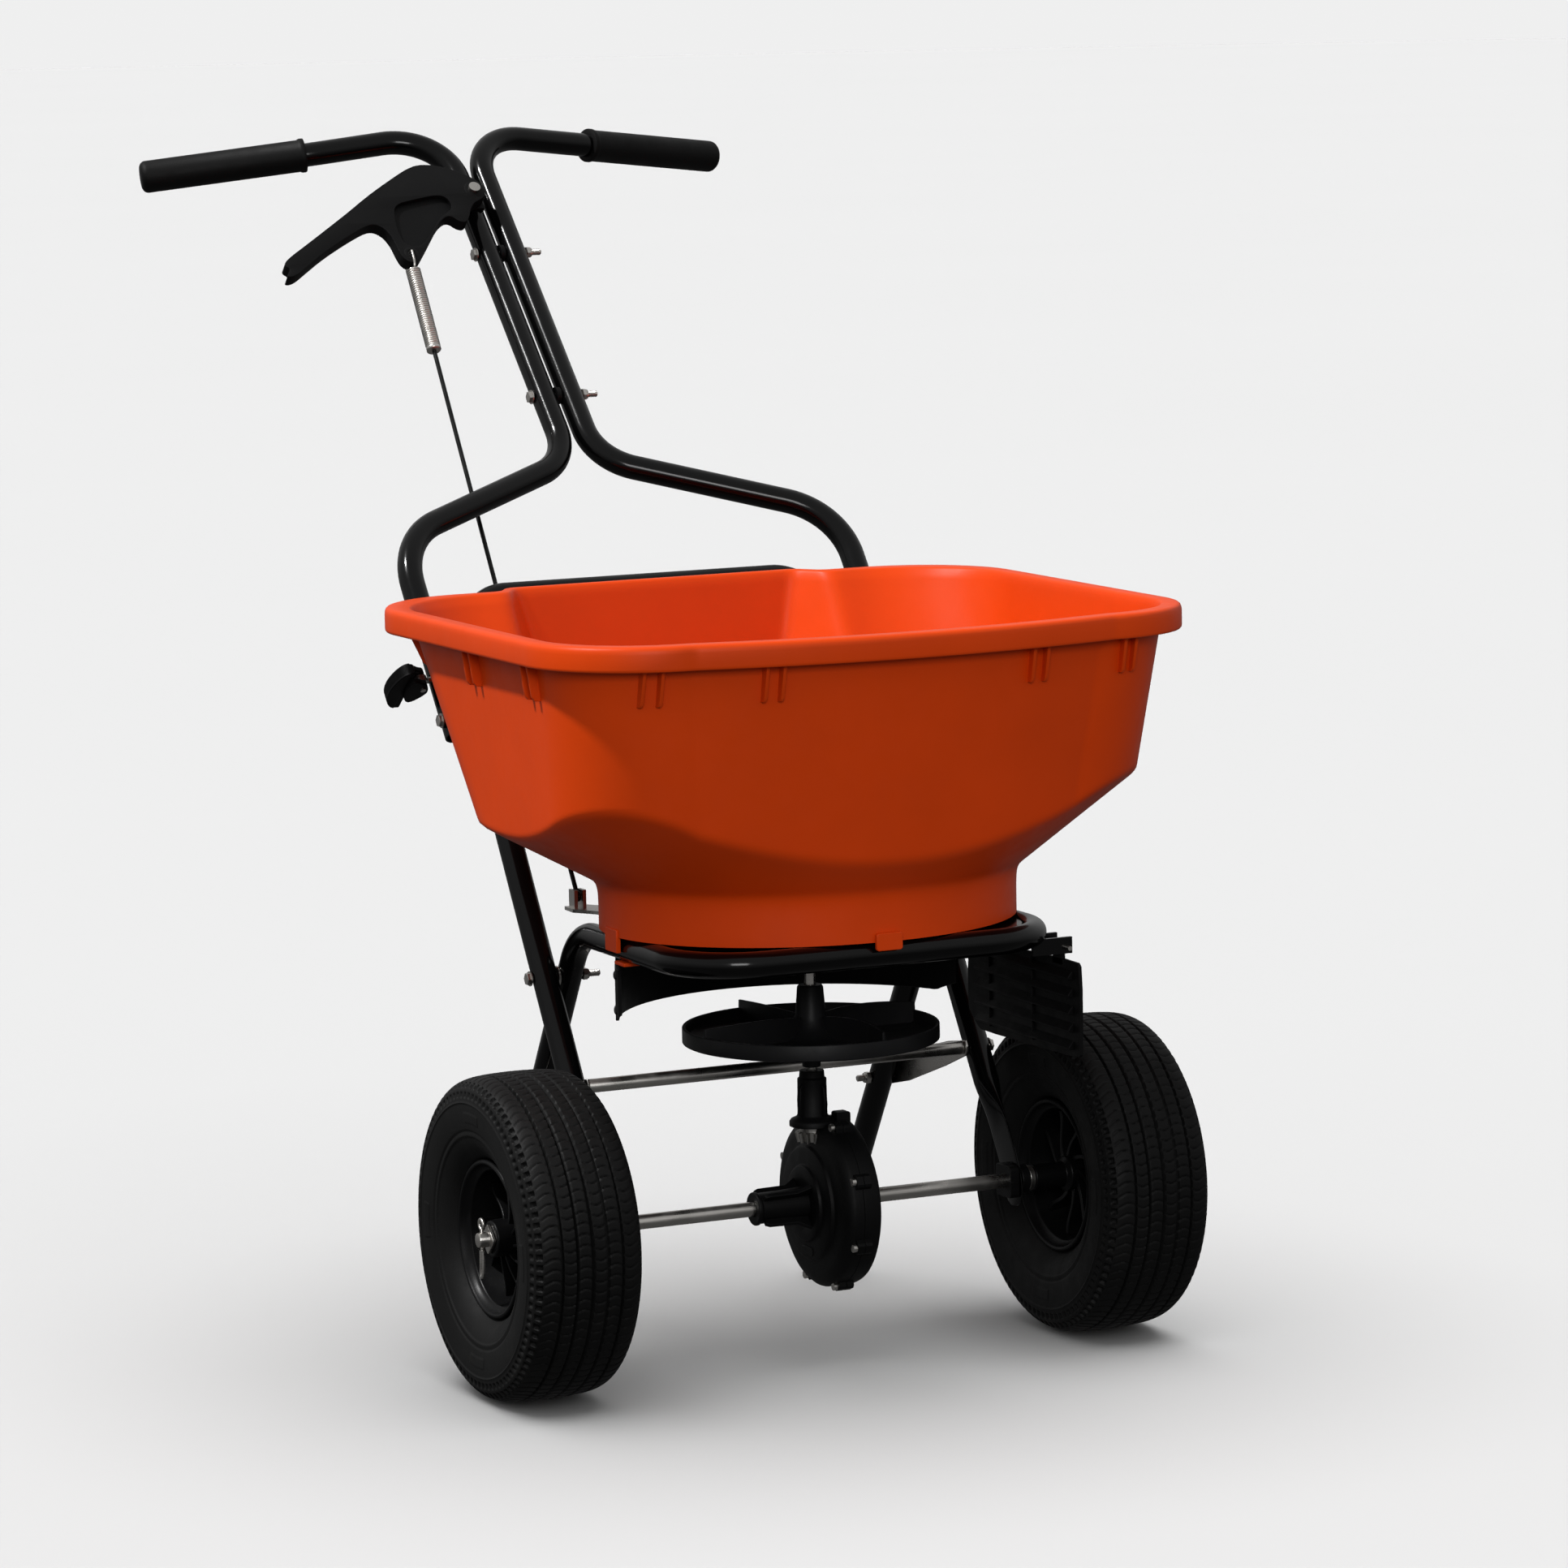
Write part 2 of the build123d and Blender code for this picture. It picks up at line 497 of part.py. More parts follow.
PIN_POINT = lever_plane.from_local_coords(Vector(*lp(*LEVER_PIN), 0))
rod_dir = (Vector(ROD_LOW) - PIN_POINT).normalized()
SPRING_TOP = 24.0
HOOK_HALF = 8.7
WIRE_R = 1.3
SPRING_END = 122.0
ROD_LENGTH = (Vector(ROD_LOW) - PIN_POINT).length
spring_start = PIN_POINT + rod_dir * SPRING_TOP
coil_plane = Plane(origin=spring_start, x_dir=rod_dir.cross(lever_n), z_dir=rod_dir)
coil = extrude(coil_plane * (Circle(6.0) - Circle(3.9)), SPRING_END - SPRING_TOP)
hook_eye = extrude(coil_plane * Circle(6.0), 2.0)
spring = coil + hook_eye
spring += extrude(lever_plane * Pos(*lp(*LEVER_PIN)) * Circle(WIRE_R), amount=HOOK_HALF + WIRE_R, both=True)
for way in (-1, 1):
    corner = PIN_POINT + lever_n * (HOOK_HALF * way)
    spring += rod(tuple(corner), tuple(corner + rod_dir * (SPRING_TOP + 1.0)), WIRE_R)
spring += extrude(coil_plane * Rectangle(2 * WIRE_R, 2 * HOOK_HALF), 2.0)
nodes["spring"] = spring

rod_start = PIN_POINT + rod_dir * (SPRING_END - 40.0)
rod_stop = Vector(ROD_LOW) - rod_dir * 8.0
control = rod(tuple(rod_start), tuple(rod_stop), 2.0)
control += rod(tuple(PIN_POINT + rod_dir * (SPRING_END + 0.3)),
               tuple(PIN_POINT + rod_dir * (SPRING_END + 4.0)), 5.0)
eye_ring = rod_x(ROD_LOW[0] - 1.6, ROD_LOW[0] + 1.6, 5.0, ROD_LOW[1], ROD_LOW[2])
control += eye_ring + rod(tuple(rod_stop - rod_dir * 1.0), tuple(Vector(ROD_LOW) - rod_dir * 3.0), 2.0)
control -= rod_x(ROD_LOW[0] - 4, ROD_LOW[0] + 4, 2.1, ROD_LOW[1], ROD_LOW[2])
nodes["control_rod"] = control

# ---------------------------------------------------------------- axle and wheels
AXLE_HALF = 312.0
PIN_X = 308.0
nodes["axle"] = rod_x(-AXLE_HALF, AXLE_HALF, AXLE_R, 0, AXLE_Z)
for x in (-PIN_X, PIN_X):
    nodes["axle"] -= rod((x, 0, AXLE_Z - 10), (x, 0, AXLE_Z + 10), 2.1)
KEY_X = -291.0
key_axis = ((KEY_X, 0, AXLE_Z - 15.0), (KEY_X, 0, AXLE_Z + 15.0))
nodes["axle"] -= rod(*key_axis, 2.55)
nodes["drive_key"] = rod(*key_axis, 2.5)

for name, s in SIDES:
    bearing = block(s * 182.0, s * 190.3, -14.0, 14.0, AXLE_Z - 14.0, AXLE_Z + 14.0)
    bearing += rod_x(s * 190.0, s * 203.0, 9.1, 0, AXLE_Z)
    bearing += rod_x(s * 194.8, s * 203.0, 12.5, 0, AXLE_Z)
    bearing -= rod_x(s * 180.0, s * 206.0, AXLE_R + RUN_GAP, 0, AXLE_Z)
    nodes["bearing_" + name] = bearing

tyre_outer = [(0, TYRE_R), (34.0, TYRE_R - 1.0), (44.5, TYRE_R - 5.0), (TYRE_HALF, TYRE_R - 17.0),
              (TYRE_HALF, TYRE_R - 36.0), (44.5, TYRE_R - 56.0), (31.0, RIM_R + 1.0)]
tyre_inner = [(25.0, RIM_R + 1.0), (37.5, TYRE_R - 57.0), (43.5, TYRE_R - 39.0), (43.5, TYRE_R - 20.0),
              (38.0, TYRE_R - 11.0), (30.0, TYRE_R - 9.0), (0, TYRE_R - 8.5)]


def rib_outline(way):
    """Rib of the rim: sweeps sideways from the hub to the barrel."""
    left, right = [], []
    for i in range(5):
        r = 13.0 + 41.0 * i / 4
        a = way * 0.6 * sin(i / 4 * pi * 0.55)
        w = (2.4 - 0.2 * i) / r
        left.append((r * sin(a - w), AXLE_Z + r * cos(a - w)))
        right.append((r * sin(a + w), AXLE_Z + r * cos(a + w)))
    return left + right[::-1]


for name, s in SIDES:
    cx = s * WHEEL_X
    half = tyre_outer + tyre_inner
    mirror = [(-x, r) for x, r in reversed(half[1:-1])]
    outline = [(cx + x, 0, AXLE_Z + r) for x, r in half + mirror]
    ring = Polyline(*outline, close=True)
    tyre = revolve(make_face(ring), axis=Axis((cx, 0, AXLE_Z), (1, 0, 0)))
    for x in (-27.0, -13.5, 0.0, 13.5, 27.0):
        groove = rod_x(cx + x - 1.6, cx + x + 1.6, TYRE_R + 2, 0, AXLE_Z, TYRE_R - 4.0)
        tyre -= groove
    nodes["tyre_" + name] = tyre

    rim_profile = [(-31.0, 66.0), (-31.0, 62.5), (-25.0, 59.0), (-14.0, 57.0), (-6.0, 53.0), (-6.0, 50.0),
                   (6.0, 50.0), (6.0, 53.0), (14.0, 57.0), (25.0, 59.0), (31.0, 62.5), (31.0, 66.0),
                   (35.0, 67.0), (35.0, 63.0), (28.0, 56.5), (15.0, 53.5), (9.0, 46.5), (-9.0, 46.5),
                   (-15.0, 53.5), (-28.0, 56.5), (-35.0, 63.0), (-35.0, 67.0)]
    rim_face = make_face(Polyline(*[(cx + x, 0, AXLE_Z + r) for x, r in rim_profile], close=True))
    rim = revolve(rim_face, axis=Axis((cx, 0, AXLE_Z), (1, 0, 0)))
    rim += rod_x(cx - s * HUB_IN, cx - s * 24.0, 11.0, 0, AXLE_Z)
    rim += rod_x(cx - s * 26.0, cx + s * HUB_OUT, 15.5, 0, AXLE_Z)
    rib = plate_x(cx - 22.0, cx + 22.0, rib_outline(s))
    barrel = rod_x(cx - 22.0, cx + 22.0, 52.0, 0, AXLE_Z, 12.0)
    for k in range(RIB_COUNT):
        turned = rib.rotate(Axis((cx, 0, AXLE_Z), (1, 0, 0)), 360.0 / RIB_COUNT * k)
        rim += turned & barrel
    rim -= rod_x(cx - 70, cx + 70, AXLE_R + RUN_GAP, 0, AXLE_Z)
    if s < 0:
        rim -= rod((KEY_X, 0, AXLE_Z - 20.0), (KEY_X, 0, AXLE_Z + 20.0), 2.55)
    nodes["rim_" + name] = rim

washers, linch_pins = [], []
for _, s in SIDES:
    plane = Plane(origin=(s * 300.4, 0, AXLE_Z), x_dir=(0, 1, 0), z_dir=(s, 0, 0))
    washers.append(extrude(plane * (Rectangle(19.0, 19.0, rotation=45) - Circle(AXLE_R + 0.05)), 2.6))
    washers.append(rod_x(s * 203.6, s * 208.4, 11.0, 0, AXLE_Z, AXLE_R + 0.05))
    x = s * PIN_X
    pin = rod((x, 0, AXLE_Z - 24.0), (x, 0, AXLE_Z + 13.0), 2.0)
    pin += rod((x, 0, AXLE_Z + 12.0), (x, 0, AXLE_Z + 16.0), 4.2)
    pin += rod((x, 0, AXLE_Z - 22.0), (x, 7.0, AXLE_Z - 30.0), 1.8)
    linch_pins.append(pin)
nodes["hub_washers"] = Compound(children=washers)
nodes["linch_pins"] = Compound(children=linch_pins)

# ---------------------------------------------------------------- bevel gears
GEAR_R = GEAR_MODULE * GEAR_TEETH / 2
PINION_R = GEAR_MODULE * PINION_TEETH / 2
CONE = sqrt(GEAR_R ** 2 + PINION_R ** 2)
TAPER = (CONE - FACE_WIDTH) / CONE

# Half tooth profiles as (height over the pitch cone, half width), in millimetres at the big end.
GEAR_TOOTH = [(-3.1, 2.65), (1.5, 0.97)]
PINION_TOOTH = [(-2.65, 1.43), (-0.83, 1.63), (0.0, 1.55), (1.15, 1.12), (1.95, 0.64)]


def bevel(axis, radial, pitch_r, pitch_u, profile, teeth, phase):
    """Straight bevel teeth; every line of a tooth runs to the apex, where the two axes cross."""
    axis, radial = Vector(*axis), Vector(*radial)
    pitch = axis * pitch_u + radial * pitch_r
    lift = (radial * pitch_u - axis * pitch_r).normalized()
    across = axis.cross(radial)
    outline = [pitch + lift * h + across * w for h, w in profile]
    outline += [pitch + lift * h - across * w for h, w in reversed(profile)]
    big = make_face(Polyline(*[AXLE + p for p in outline], close=True))
    small = make_face(Polyline(*[AXLE + p * TAPER for p in outline], close=True))
    tooth = loft([big, small], ruled=True)
    turn = Axis(tuple(AXLE), tuple(axis))
    return [tooth.rotate(turn, 360.0 / teeth * (k + phase)) for k in range(teeth)], pitch, lift


gear_teeth, gear_pitch, gear_lift = bevel((1, 0, 0), (0, 0, 1), GEAR_R, PINION_R, GEAR_TOOTH, GEAR_TEETH, 0.0)
root_out = gear_pitch + gear_lift * (GEAR_TOOTH[0][0] + 0.3)
root_in = root_out * TAPER
gear_profile = [(root_in.X, root_in.Z), (root_out.X, root_out.Z), (24.0, root_out.Z), (24.0, 16.0),
                (28.4, 16.0), (28.4, AXLE_R + 0.05), (10.0, AXLE_R + 0.05), (10.0, 16.0), (19.0, 18.0),
                (19.0, root_in.Z - 3.0), (root_in.X, root_in.Z - 1.0)]
gear_face = make_face(Polyline(*[(x, 0, AXLE_Z + r) for x, r in gear_profile], close=True))
drive_gear = revolve(gear_face, axis=Axis((0, 0, AXLE_Z), (1, 0, 0)))
nodes["drive_gear"] = drive_gear + gear_teeth

pin_teeth, pin_pitch, pin_lift = bevel((0, 0, 1), (1, 0, 0), PINION_R, GEAR_R, PINION_TOOTH,
                                     PINION_TEETH, 0.5)
proot_out = pin_pitch + pin_lift * (PINION_TOOTH[0][0] + 0.3)
proot_in = proot_out * TAPER
BORE = SHAFT_R + RUN_GAP
pinion_profile = [(BORE, proot_in.Z), (proot_in.X, proot_in.Z), (proot_out.X, proot_out.Z),
                  (proot_out.X, proot_out.Z + 3.0), (BORE, proot_out.Z + 3.0)]
pinion_face = make_face(Polyline(*[(r, 0, AXLE_Z + z) for r, z in pinion_profile], close=True))
pinion = revolve(pinion_face, axis=Axis((0, 0, 0), (0, 0, 1)))
nodes["pinion"] = pinion + pin_teeth

# ---------------------------------------------------------------- gearbox housing
SPLIT_X = 13.0
NECK_TOP_Z = 250.0
drum = rod_x(DRUM_X0, DRUM_X1, DRUM_R, 0, AXLE_Z)
drum = fillet(drum.edges(), 4.0)
turret = rod_z(176.0, 209.0, 20.0)
neck_tube = rod_z(205.0, NECK_TOP_Z - 6.0, 12.5) + rod_z(NECK_TOP_Z - 6.0, NECK_TOP_Z, 10.5)
boss_left = rod_x(-58.0, DRUM_X0 + 1, 14.0, 0, AXLE_Z) + rod_x(-58.0, -54.0, 16.0, 0, AXLE_Z)
for k in range(4):
    fin = block(-54.0, DRUM_X0, -2.0, 2.0, AXLE_Z + 12.0, AXLE_Z + 19.0)
    boss_left += fin.rotate(Axis((0, 0, AXLE_Z), (1, 0, 0)), 45.0 + 90.0 * k)
boss_right = rod_x(DRUM_X1 - 1, 46.0, 14.0, 0, AXLE_Z)
lugs = []
for k in range(8):
    lug = block(SPLIT_X - 7.0, SPLIT_X + 7.0, -5.5, 5.5, AXLE_Z + DRUM_R - 3.0, AXLE_Z + DRUM_R + 5.0)
    lugs.append(lug.rotate(Axis((0, 0, AXLE_Z), (1, 0, 0)), 22.5 + 45.0 * k))
housing = drum + turret + neck_tube + boss_left + boss_right
housing += lugs
cavity = rod_x(DRUM_X0 + DRUM_WALL, DRUM_X1 - DRUM_WALL, DRUM_R - DRUM_WALL, 0, AXLE_Z)
cavity += rod_z(179.0, 206.0, 17.5)
cavity += rod_x(-80.0, 80.0, AXLE_R + RUN_GAP, 0, AXLE_Z)
cavity += rod_z(200.0, 260.0, SHAFT_R + RUN_GAP)
housing -= cavity
slot = block(-8.0, -1.0, -12.0, 8.0, AXLE_Z - 42.0, AXLE_Z - 35.0)
housing -= slot & block(-8.0, DRUM_X0 + 1.2, -30, 30, 60, 140)
nodes["gearbox_left"] = housing & block(-80.0, SPLIT_X - 0.1, -100, 100, 40, 300)
nodes["gearbox_right"] = housing & block(SPLIT_X + 0.1, 80.0, -100, 100, 40, 300)
screws = []
for k in range(8):
    screw = rod_x(SPLIT_X - 10.5, SPLIT_X + 6.5, 1.9, 0, AXLE_Z + DRUM_R + 1.4)
    screw += rod_x(SPLIT_X - 10.5, SPLIT_X - 7.2, 3.4, 0, AXLE_Z + DRUM_R + 1.4)
    hole = rod_x(SPLIT_X - 12.0, SPLIT_X + 8.0, 2.0, 0, AXLE_Z + DRUM_R + 1.4)
    hole += rod_x(SPLIT_X - 20.0, SPLIT_X - 7.2, 3.5, 0, AXLE_Z + DRUM_R + 1.4)
    spin = 22.5 + 45.0 * k
    about = Axis((0, 0, AXLE_Z), (1, 0, 0))
    screws.append(screw.rotate(about, spin))
    for half_name in ("gearbox_left", "gearbox_right"):
        nodes[half_name] -= hole.rotate(about, spin)
nodes["gearbox_screws"] = Compound(children=screws)

# ---------------------------------------------------------------- impeller and shaft
nodes["impeller_shaft"] = rod_z(AXLE_Z + proot_in.Z - 2.0, 424.0, SHAFT_R)
impeller = rod_z(IMPELLER_Z, IMPELLER_Z + 3.0, IMPELLER_R)
impeller += rod_z(IMPELLER_Z, IMPELLER_Z + 14.0, IMPELLER_R, bore=IMPELLER_R - 3.0)
impeller += rod_z(253.0, 313.0, 8.0)
impeller += Pos(0, 0, IMPELLER_Z + 2.5) * loft([Circle(24.0), Pos(0, 0, 18.0) * Circle(9.0)])
for k in range(4):
    vane = block(8.0, IMPELLER_R - 0.5, -1.6, 1.6, IMPELLER_Z + 2.0, IMPELLER_Z + 20.0)
    vane = vane.rotate(Axis((14, 0, 0), (0, 0, 1)), -9.0)
    impeller += (vane & rod_z(250, 320, IMPELLER_R - 0.4)).rotate(Axis.Z, 90.0 * k + 25.0)
impeller -= rod_z(240, 340, SHAFT_R + 0.04)
nodes["impeller"] = impeller
nodes["shaft_collar"] = rod_z(313.2, 322.0, 9.0, bore=SHAFT_R + 0.04)

agitator = rod_z(392.0, 404.0, 9.0)
for s in (-1, 1):
    agitator += rod((0, 0, 398.0), (s * 25.0, 0, 400.0), 3.0)
    agitator += rod((s * 24.0, 0, 398.0), (s * 26.0, 0, 422.0), 3.0)
agitator -= rod_z(380, 440, SHAFT_R + 0.04)
nodes["agitator"] = agitator

# ---------------------------------------------------------------- guard and side deflector
GUARD_LOW = 297.0
GUARD_TOP = 345.0
guard = rod_z(GUARD_LOW, PLATE_Z - 0.1, GUARD_R + 3.0, bore=GUARD_R)
wedge = make_face(Polyline((0, 0, 290), (300, 64, 290), (300, 300, 290), (-300, 300, 290), (-300, 64, 290),
                           close=True))
guard &= extrude(wedge, 100.0)
for x0, x1 in ((-200, -144), (-96, -74), (-22, 22), (74, 96), (144, 200)):
    notch = [(x0 + 4.0, GUARD_TOP), (x0, 380.0), (x1, 380.0), (x1 - 4.0, GUARD_TOP)]
    cut = make_face(Polyline(*[(x, -20.0, z) for x, z in notch], close=True))
    guard -= extrude(cut, amount=300.0, dir=(0, 1, 0))
for s in (-1, 1):
    corner = make_face(Polyline((s * 170, -20, 290), (s * 152, -20, 290), (s * 170, -20, 306), close=True))
    guard -= extrude(corner, amount=300.0, dir=(0, 1, 0))
nodes["rear_guard"] = guard

DEF_X = 184.5
DEF_TOP = 352.0
HINGE_Z = 356.0
DEF_FRONT = -145.0
DEF_REAR = 64.0
KNUCKLES = ((-114.0, -96.0), (24.0, 42.0))
panel_outline = [(DEF_FRONT, DEF_TOP - 4.0), (DEF_FRONT, 266.0), (40.0, 262.0), (DEF_REAR, 278.0),
                 (DEF_REAR, DEF_TOP - 12.0)]
deflector = plate_x(DEF_X - 1.5, DEF_X + 1.5, panel_outline, 6.0)
for z in (282.0, 300.0, 318.0, 336.0):
    rib = block(DEF_X - 4.5, DEF_X, DEF_FRONT + 8.0, DEF_REAR - 16.0, z - 1.5, z + 1.5)
    deflector += rib
for y in (-100.0, -40.0, 20.0):
    deflector += block(DEF_X - 3.2, DEF_X, y - 1.5, y + 1.5, 272.0, 342.0)
for y0, y1 in KNUCKLES:
    knuckle = rod((DEF_X, y0, HINGE_Z), (DEF_X, y1, HINGE_Z), 5.0)
    knuckle += block(DEF_X - 1.5, DEF_X + 1.5, y0, y1, DEF_TOP - 14.0, HINGE_Z)
    deflector += knuckle
deflector -= rod((DEF_X, -130, HINGE_Z), (DEF_X, 60, HINGE_Z), 2.0 + RUN_GAP)
nodes["deflector"] = deflector
nodes["deflector_pin"] = rod((DEF_X, -126.0, HINGE_Z), (DEF_X, 54.0, HINGE_Z), 2.0)
brackets = []
for y, reach in ((-118.5, 152.0), (-91.5, 170.0), (19.5, 172.0), (46.5, 172.0)):
    lug = block(reach, DEF_X + 5.0, y - 1.75, y + 1.75, HINGE_Z - 5.0, HINGE_Z + 9.0)
    lug -= rod((DEF_X, y - 5, HINGE_Z), (DEF_X, y + 5, HINGE_Z), 2.0 + RUN_GAP)
    brackets.append(lug)
bracket_tool = bent_tube(ring_path, (STAND_BEND, RING_CORNER, RING_CORNER, STAND_BEND), TUBE_R + 0.05, 0.0)
nodes["deflector_brackets"] = Compound(children=[b - bracket_tool for b in brackets])

# ---------------------------------------------------------------- export
os.makedirs("parts", exist_ok=True)
for node, shape in nodes.items():
    export_step(Pos(*EXPORT_SHIFT) * shape, f"parts/{node}.step")
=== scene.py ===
import json
import math

import bpy
import numpy as np
from mathutils import Matrix, Vector


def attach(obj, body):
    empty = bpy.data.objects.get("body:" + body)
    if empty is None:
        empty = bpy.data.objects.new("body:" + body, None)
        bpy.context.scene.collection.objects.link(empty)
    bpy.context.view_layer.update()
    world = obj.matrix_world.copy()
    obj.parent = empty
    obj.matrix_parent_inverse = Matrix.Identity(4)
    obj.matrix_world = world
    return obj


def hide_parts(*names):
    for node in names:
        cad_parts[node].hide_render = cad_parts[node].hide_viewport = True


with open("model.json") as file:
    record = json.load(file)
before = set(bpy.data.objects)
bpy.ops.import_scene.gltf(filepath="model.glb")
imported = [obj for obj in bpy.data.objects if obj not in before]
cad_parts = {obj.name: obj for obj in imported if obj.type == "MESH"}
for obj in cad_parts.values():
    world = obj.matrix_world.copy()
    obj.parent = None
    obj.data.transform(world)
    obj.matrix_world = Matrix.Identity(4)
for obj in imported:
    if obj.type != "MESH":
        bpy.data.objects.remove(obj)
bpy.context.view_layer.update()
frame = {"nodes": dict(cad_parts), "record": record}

# All shapes are in millimetres, in a working frame with the axle over y = 0.
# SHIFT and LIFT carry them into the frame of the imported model, which is in metres.
MM = 0.001
SHIFT = -293.35
LIFT = 3.0
AXLE_Z = 135.0
SIDES = (("left", -1), ("right", 1))


# ---------------------------------------------------------------- mesh helpers
def vec(*p):
    return np.array(p, float)


X, Y, Z = vec(1, 0, 0), vec(0, 1, 0), vec(0, 0, 1)


def unit(v):
    v = np.asarray(v, float)
    return v / np.linalg.norm(v)


def solid(name, verts, faces, angle=35.0):
    """Mesh object from millimetre points of the working frame."""
    pts = np.asarray(verts, float).copy()
    pts[:, 1] += SHIFT
    pts[:, 2] += LIFT
    data = bpy.data.meshes.new(name)
    data.from_pydata((pts * MM).tolist(), [], faces)
    data.validate()
    data.shade_smooth()
    data.set_sharp_from_angle(angle=math.radians(angle))
    obj = bpy.data.objects.new(name, data)
    bpy.context.scene.collection.objects.link(obj)
    return obj


def merge(parts):
    """Joins (verts, faces) pairs into one."""
    verts, faces, base = [], [], 0
    for v, f in parts:
        verts.append(np.asarray(v, float))
        faces += [[i + base for i in face] for face in f]
        base += len(v)
    return np.vstack(verts), faces


def grid_faces(rows, cols, wrap_cols=True, wrap_rows=False, flip=False):
    """Quads between neighbouring rows of points."""
    faces = []
    for i in range(rows if wrap_rows else rows - 1):
        a, b = i * cols, ((i + 1) % rows) * cols
        for j in range(cols if wrap_cols else cols - 1):
            k = (j + 1) % cols
            face = [a + j, a + k, b + k, b + j]
            faces.append(face[::-1] if flip else face)
    return faces


def lathe(profile, origin, axis, seg=64, closed=False):
    """Turns (along, radius) pairs about an axis."""
    axis = unit(axis)
    side = unit(np.cross(axis, Z if abs(axis[2]) < 0.9 else X))
    up = np.cross(axis, side)
    angles = np.arange(seg) * 2 * math.pi / seg
    ring = np.outer(np.cos(angles), side) + np.outer(np.sin(angles), up)
    verts = np.vstack([np.asarray(origin) + axis * s + ring * r for s, r in profile])
    faces = grid_faces(len(profile), seg, True, closed, flip=True)
    if not closed:
        faces.append(list(range(seg)))
        faces.append([(len(profile) - 1) * seg + k for k in range(seg)][::-1])
    return verts, faces


def rounded_rod(a, b, r, edge=0.6, seg=32):
    """Round bar from a to b with softened ends."""
    a, b = np.asarray(a, float), np.asarray(b, float)
    length = np.linalg.norm(b - a)
    prof = [(0, r - edge), (edge * 0.3, r - edge * 0.3), (edge, r), (length - edge, r),
            (length - edge * 0.3, r - edge * 0.3), (length, r - edge)]
    return lathe(prof, a, b - a, seg)


def route(points, radii, step=4.0):
    """Centre line of straight runs joined by tangent arcs."""
    pts = [np.asarray(p, float) for p in points]
    line = [pts[0]]
    for i, radius in enumerate(radii, start=1):
        back, ahead = unit(pts[i - 1] - pts[i]), unit(pts[i + 1] - pts[i])
        half = math.acos(np.clip(np.dot(back, ahead), -1, 1)) / 2
        centre = pts[i] + unit(back + ahead) * (radius / math.sin(half))
        start = pts[i] + back * (radius / math.tan(half)) - centre
        end = pts[i] + ahead * (radius / math.tan(half)) - centre
        turn = math.acos(np.clip(np.dot(start, end) / radius ** 2, -1, 1))
        n = max(4, int(math.degrees(turn) / step))
        for k in range(n + 1):
            t = k / n
            p = (math.sin((1 - t) * turn) * start + math.sin(t * turn) * end) / math.sin(turn)
            line.append(centre + p)
    line.append(pts[-1])
    return np.array(line)


def sweep(path, section, closed_ends=True, scales=None, up=None):
    """Carries a closed 2-D section along a path without twist."""
    path = np.asarray(path, float)
    section = np.asarray(section, float)
    n, m = len(path), len(section)
    tang = np.gradient(path, axis=0)
    tang /= np.linalg.norm(tang, axis=1)[:, None]
    first = Z if abs(tang[0][2]) < 0.9 else X
    u = unit(np.cross(tang[0], first if up is None else up))
    rows = []
    for i in range(n):
        u = unit(u - tang[i] * np.dot(u, tang[i]))
        w = np.cross(tang[i], u)
        sc = (1.0, 1.0) if scales is None else scales[i]
        rows.append(path[i] + np.outer(section[:, 0] * sc[0], u) + np.outer(section[:, 1] * sc[1], w))
    faces = grid_faces(n, m)
    if closed_ends:
        faces.append(list(range(m))[::-1])
        faces.append([(n - 1) * m + k for k in range(m)])
    return np.vstack(rows), faces


def circle(r, seg):
    """Ring of points as an array."""
    a = np.arange(seg) * 2 * math.pi / seg
    return np.stack([np.cos(a) * r, np.sin(a) * r], axis=1)


def tube(points, radii, r, wall, seg):
    """Bent tube with open ends that show its wall."""
    path = route(points, radii)
    outer = sweep(path, circle(r, seg), closed_ends=False)
    inner = sweep(path, circle(r - wall, seg), closed_ends=False)
    n, m = len(path), seg
    verts, faces = merge([outer, (inner[0], [f[::-1] for f in inner[1]])])
    off = n * m
    for row in (0, n - 1):
        for j in range(m):
            k = (j + 1) % m
            f = [row * m + j, row * m + k, off + row * m + k, off + row * m + j]
            faces.append(f[::-1] if row == 0 else f)
    return verts, faces


def brick(x0, x1, y0, y1, z0, z1):
    """Block between two corners."""
    (x0, x1), (y0, y1) = sorted((x0, x1)), sorted((y0, y1))
    verts = [(x, y, z) for x in (x0, x1) for y in (y0, y1) for z in (z0, z1)]
    faces = [[0, 1, 3, 2], [4, 6, 7, 5], [0, 4, 5, 1], [2, 3, 7, 6], [0, 2, 6, 4], [1, 5, 7, 3]]
    return np.array(verts, float), faces


def prism(outline, origin, x_dir, y_dir, z0, z1):
    """Flat outline (u, v) carried from z0 to z1 along x_dir cross y_dir."""
    x_dir, y_dir = unit(x_dir), unit(y_dir)
    n_dir = np.cross(x_dir, y_dir)
    pts = np.asarray(outline, float)
    signed_area = np.sum(pts[:, 0] * np.roll(pts[:, 1], -1) - np.roll(pts[:, 0], -1) * pts[:, 1])
    if signed_area < 0:
        pts = pts[::-1]
    base = np.asarray(origin) + np.outer(pts[:, 0], x_dir) + np.outer(pts[:, 1], y_dir)
    m = len(pts)
    verts = np.vstack([base + n_dir * z0, base + n_dir * z1])
    faces = [list(range(m))[::-1], [m + k for k in range(m)]]
    faces += [[j, (j + 1) % m, m + (j + 1) % m, m + j] for j in range(m)]
    return verts, faces


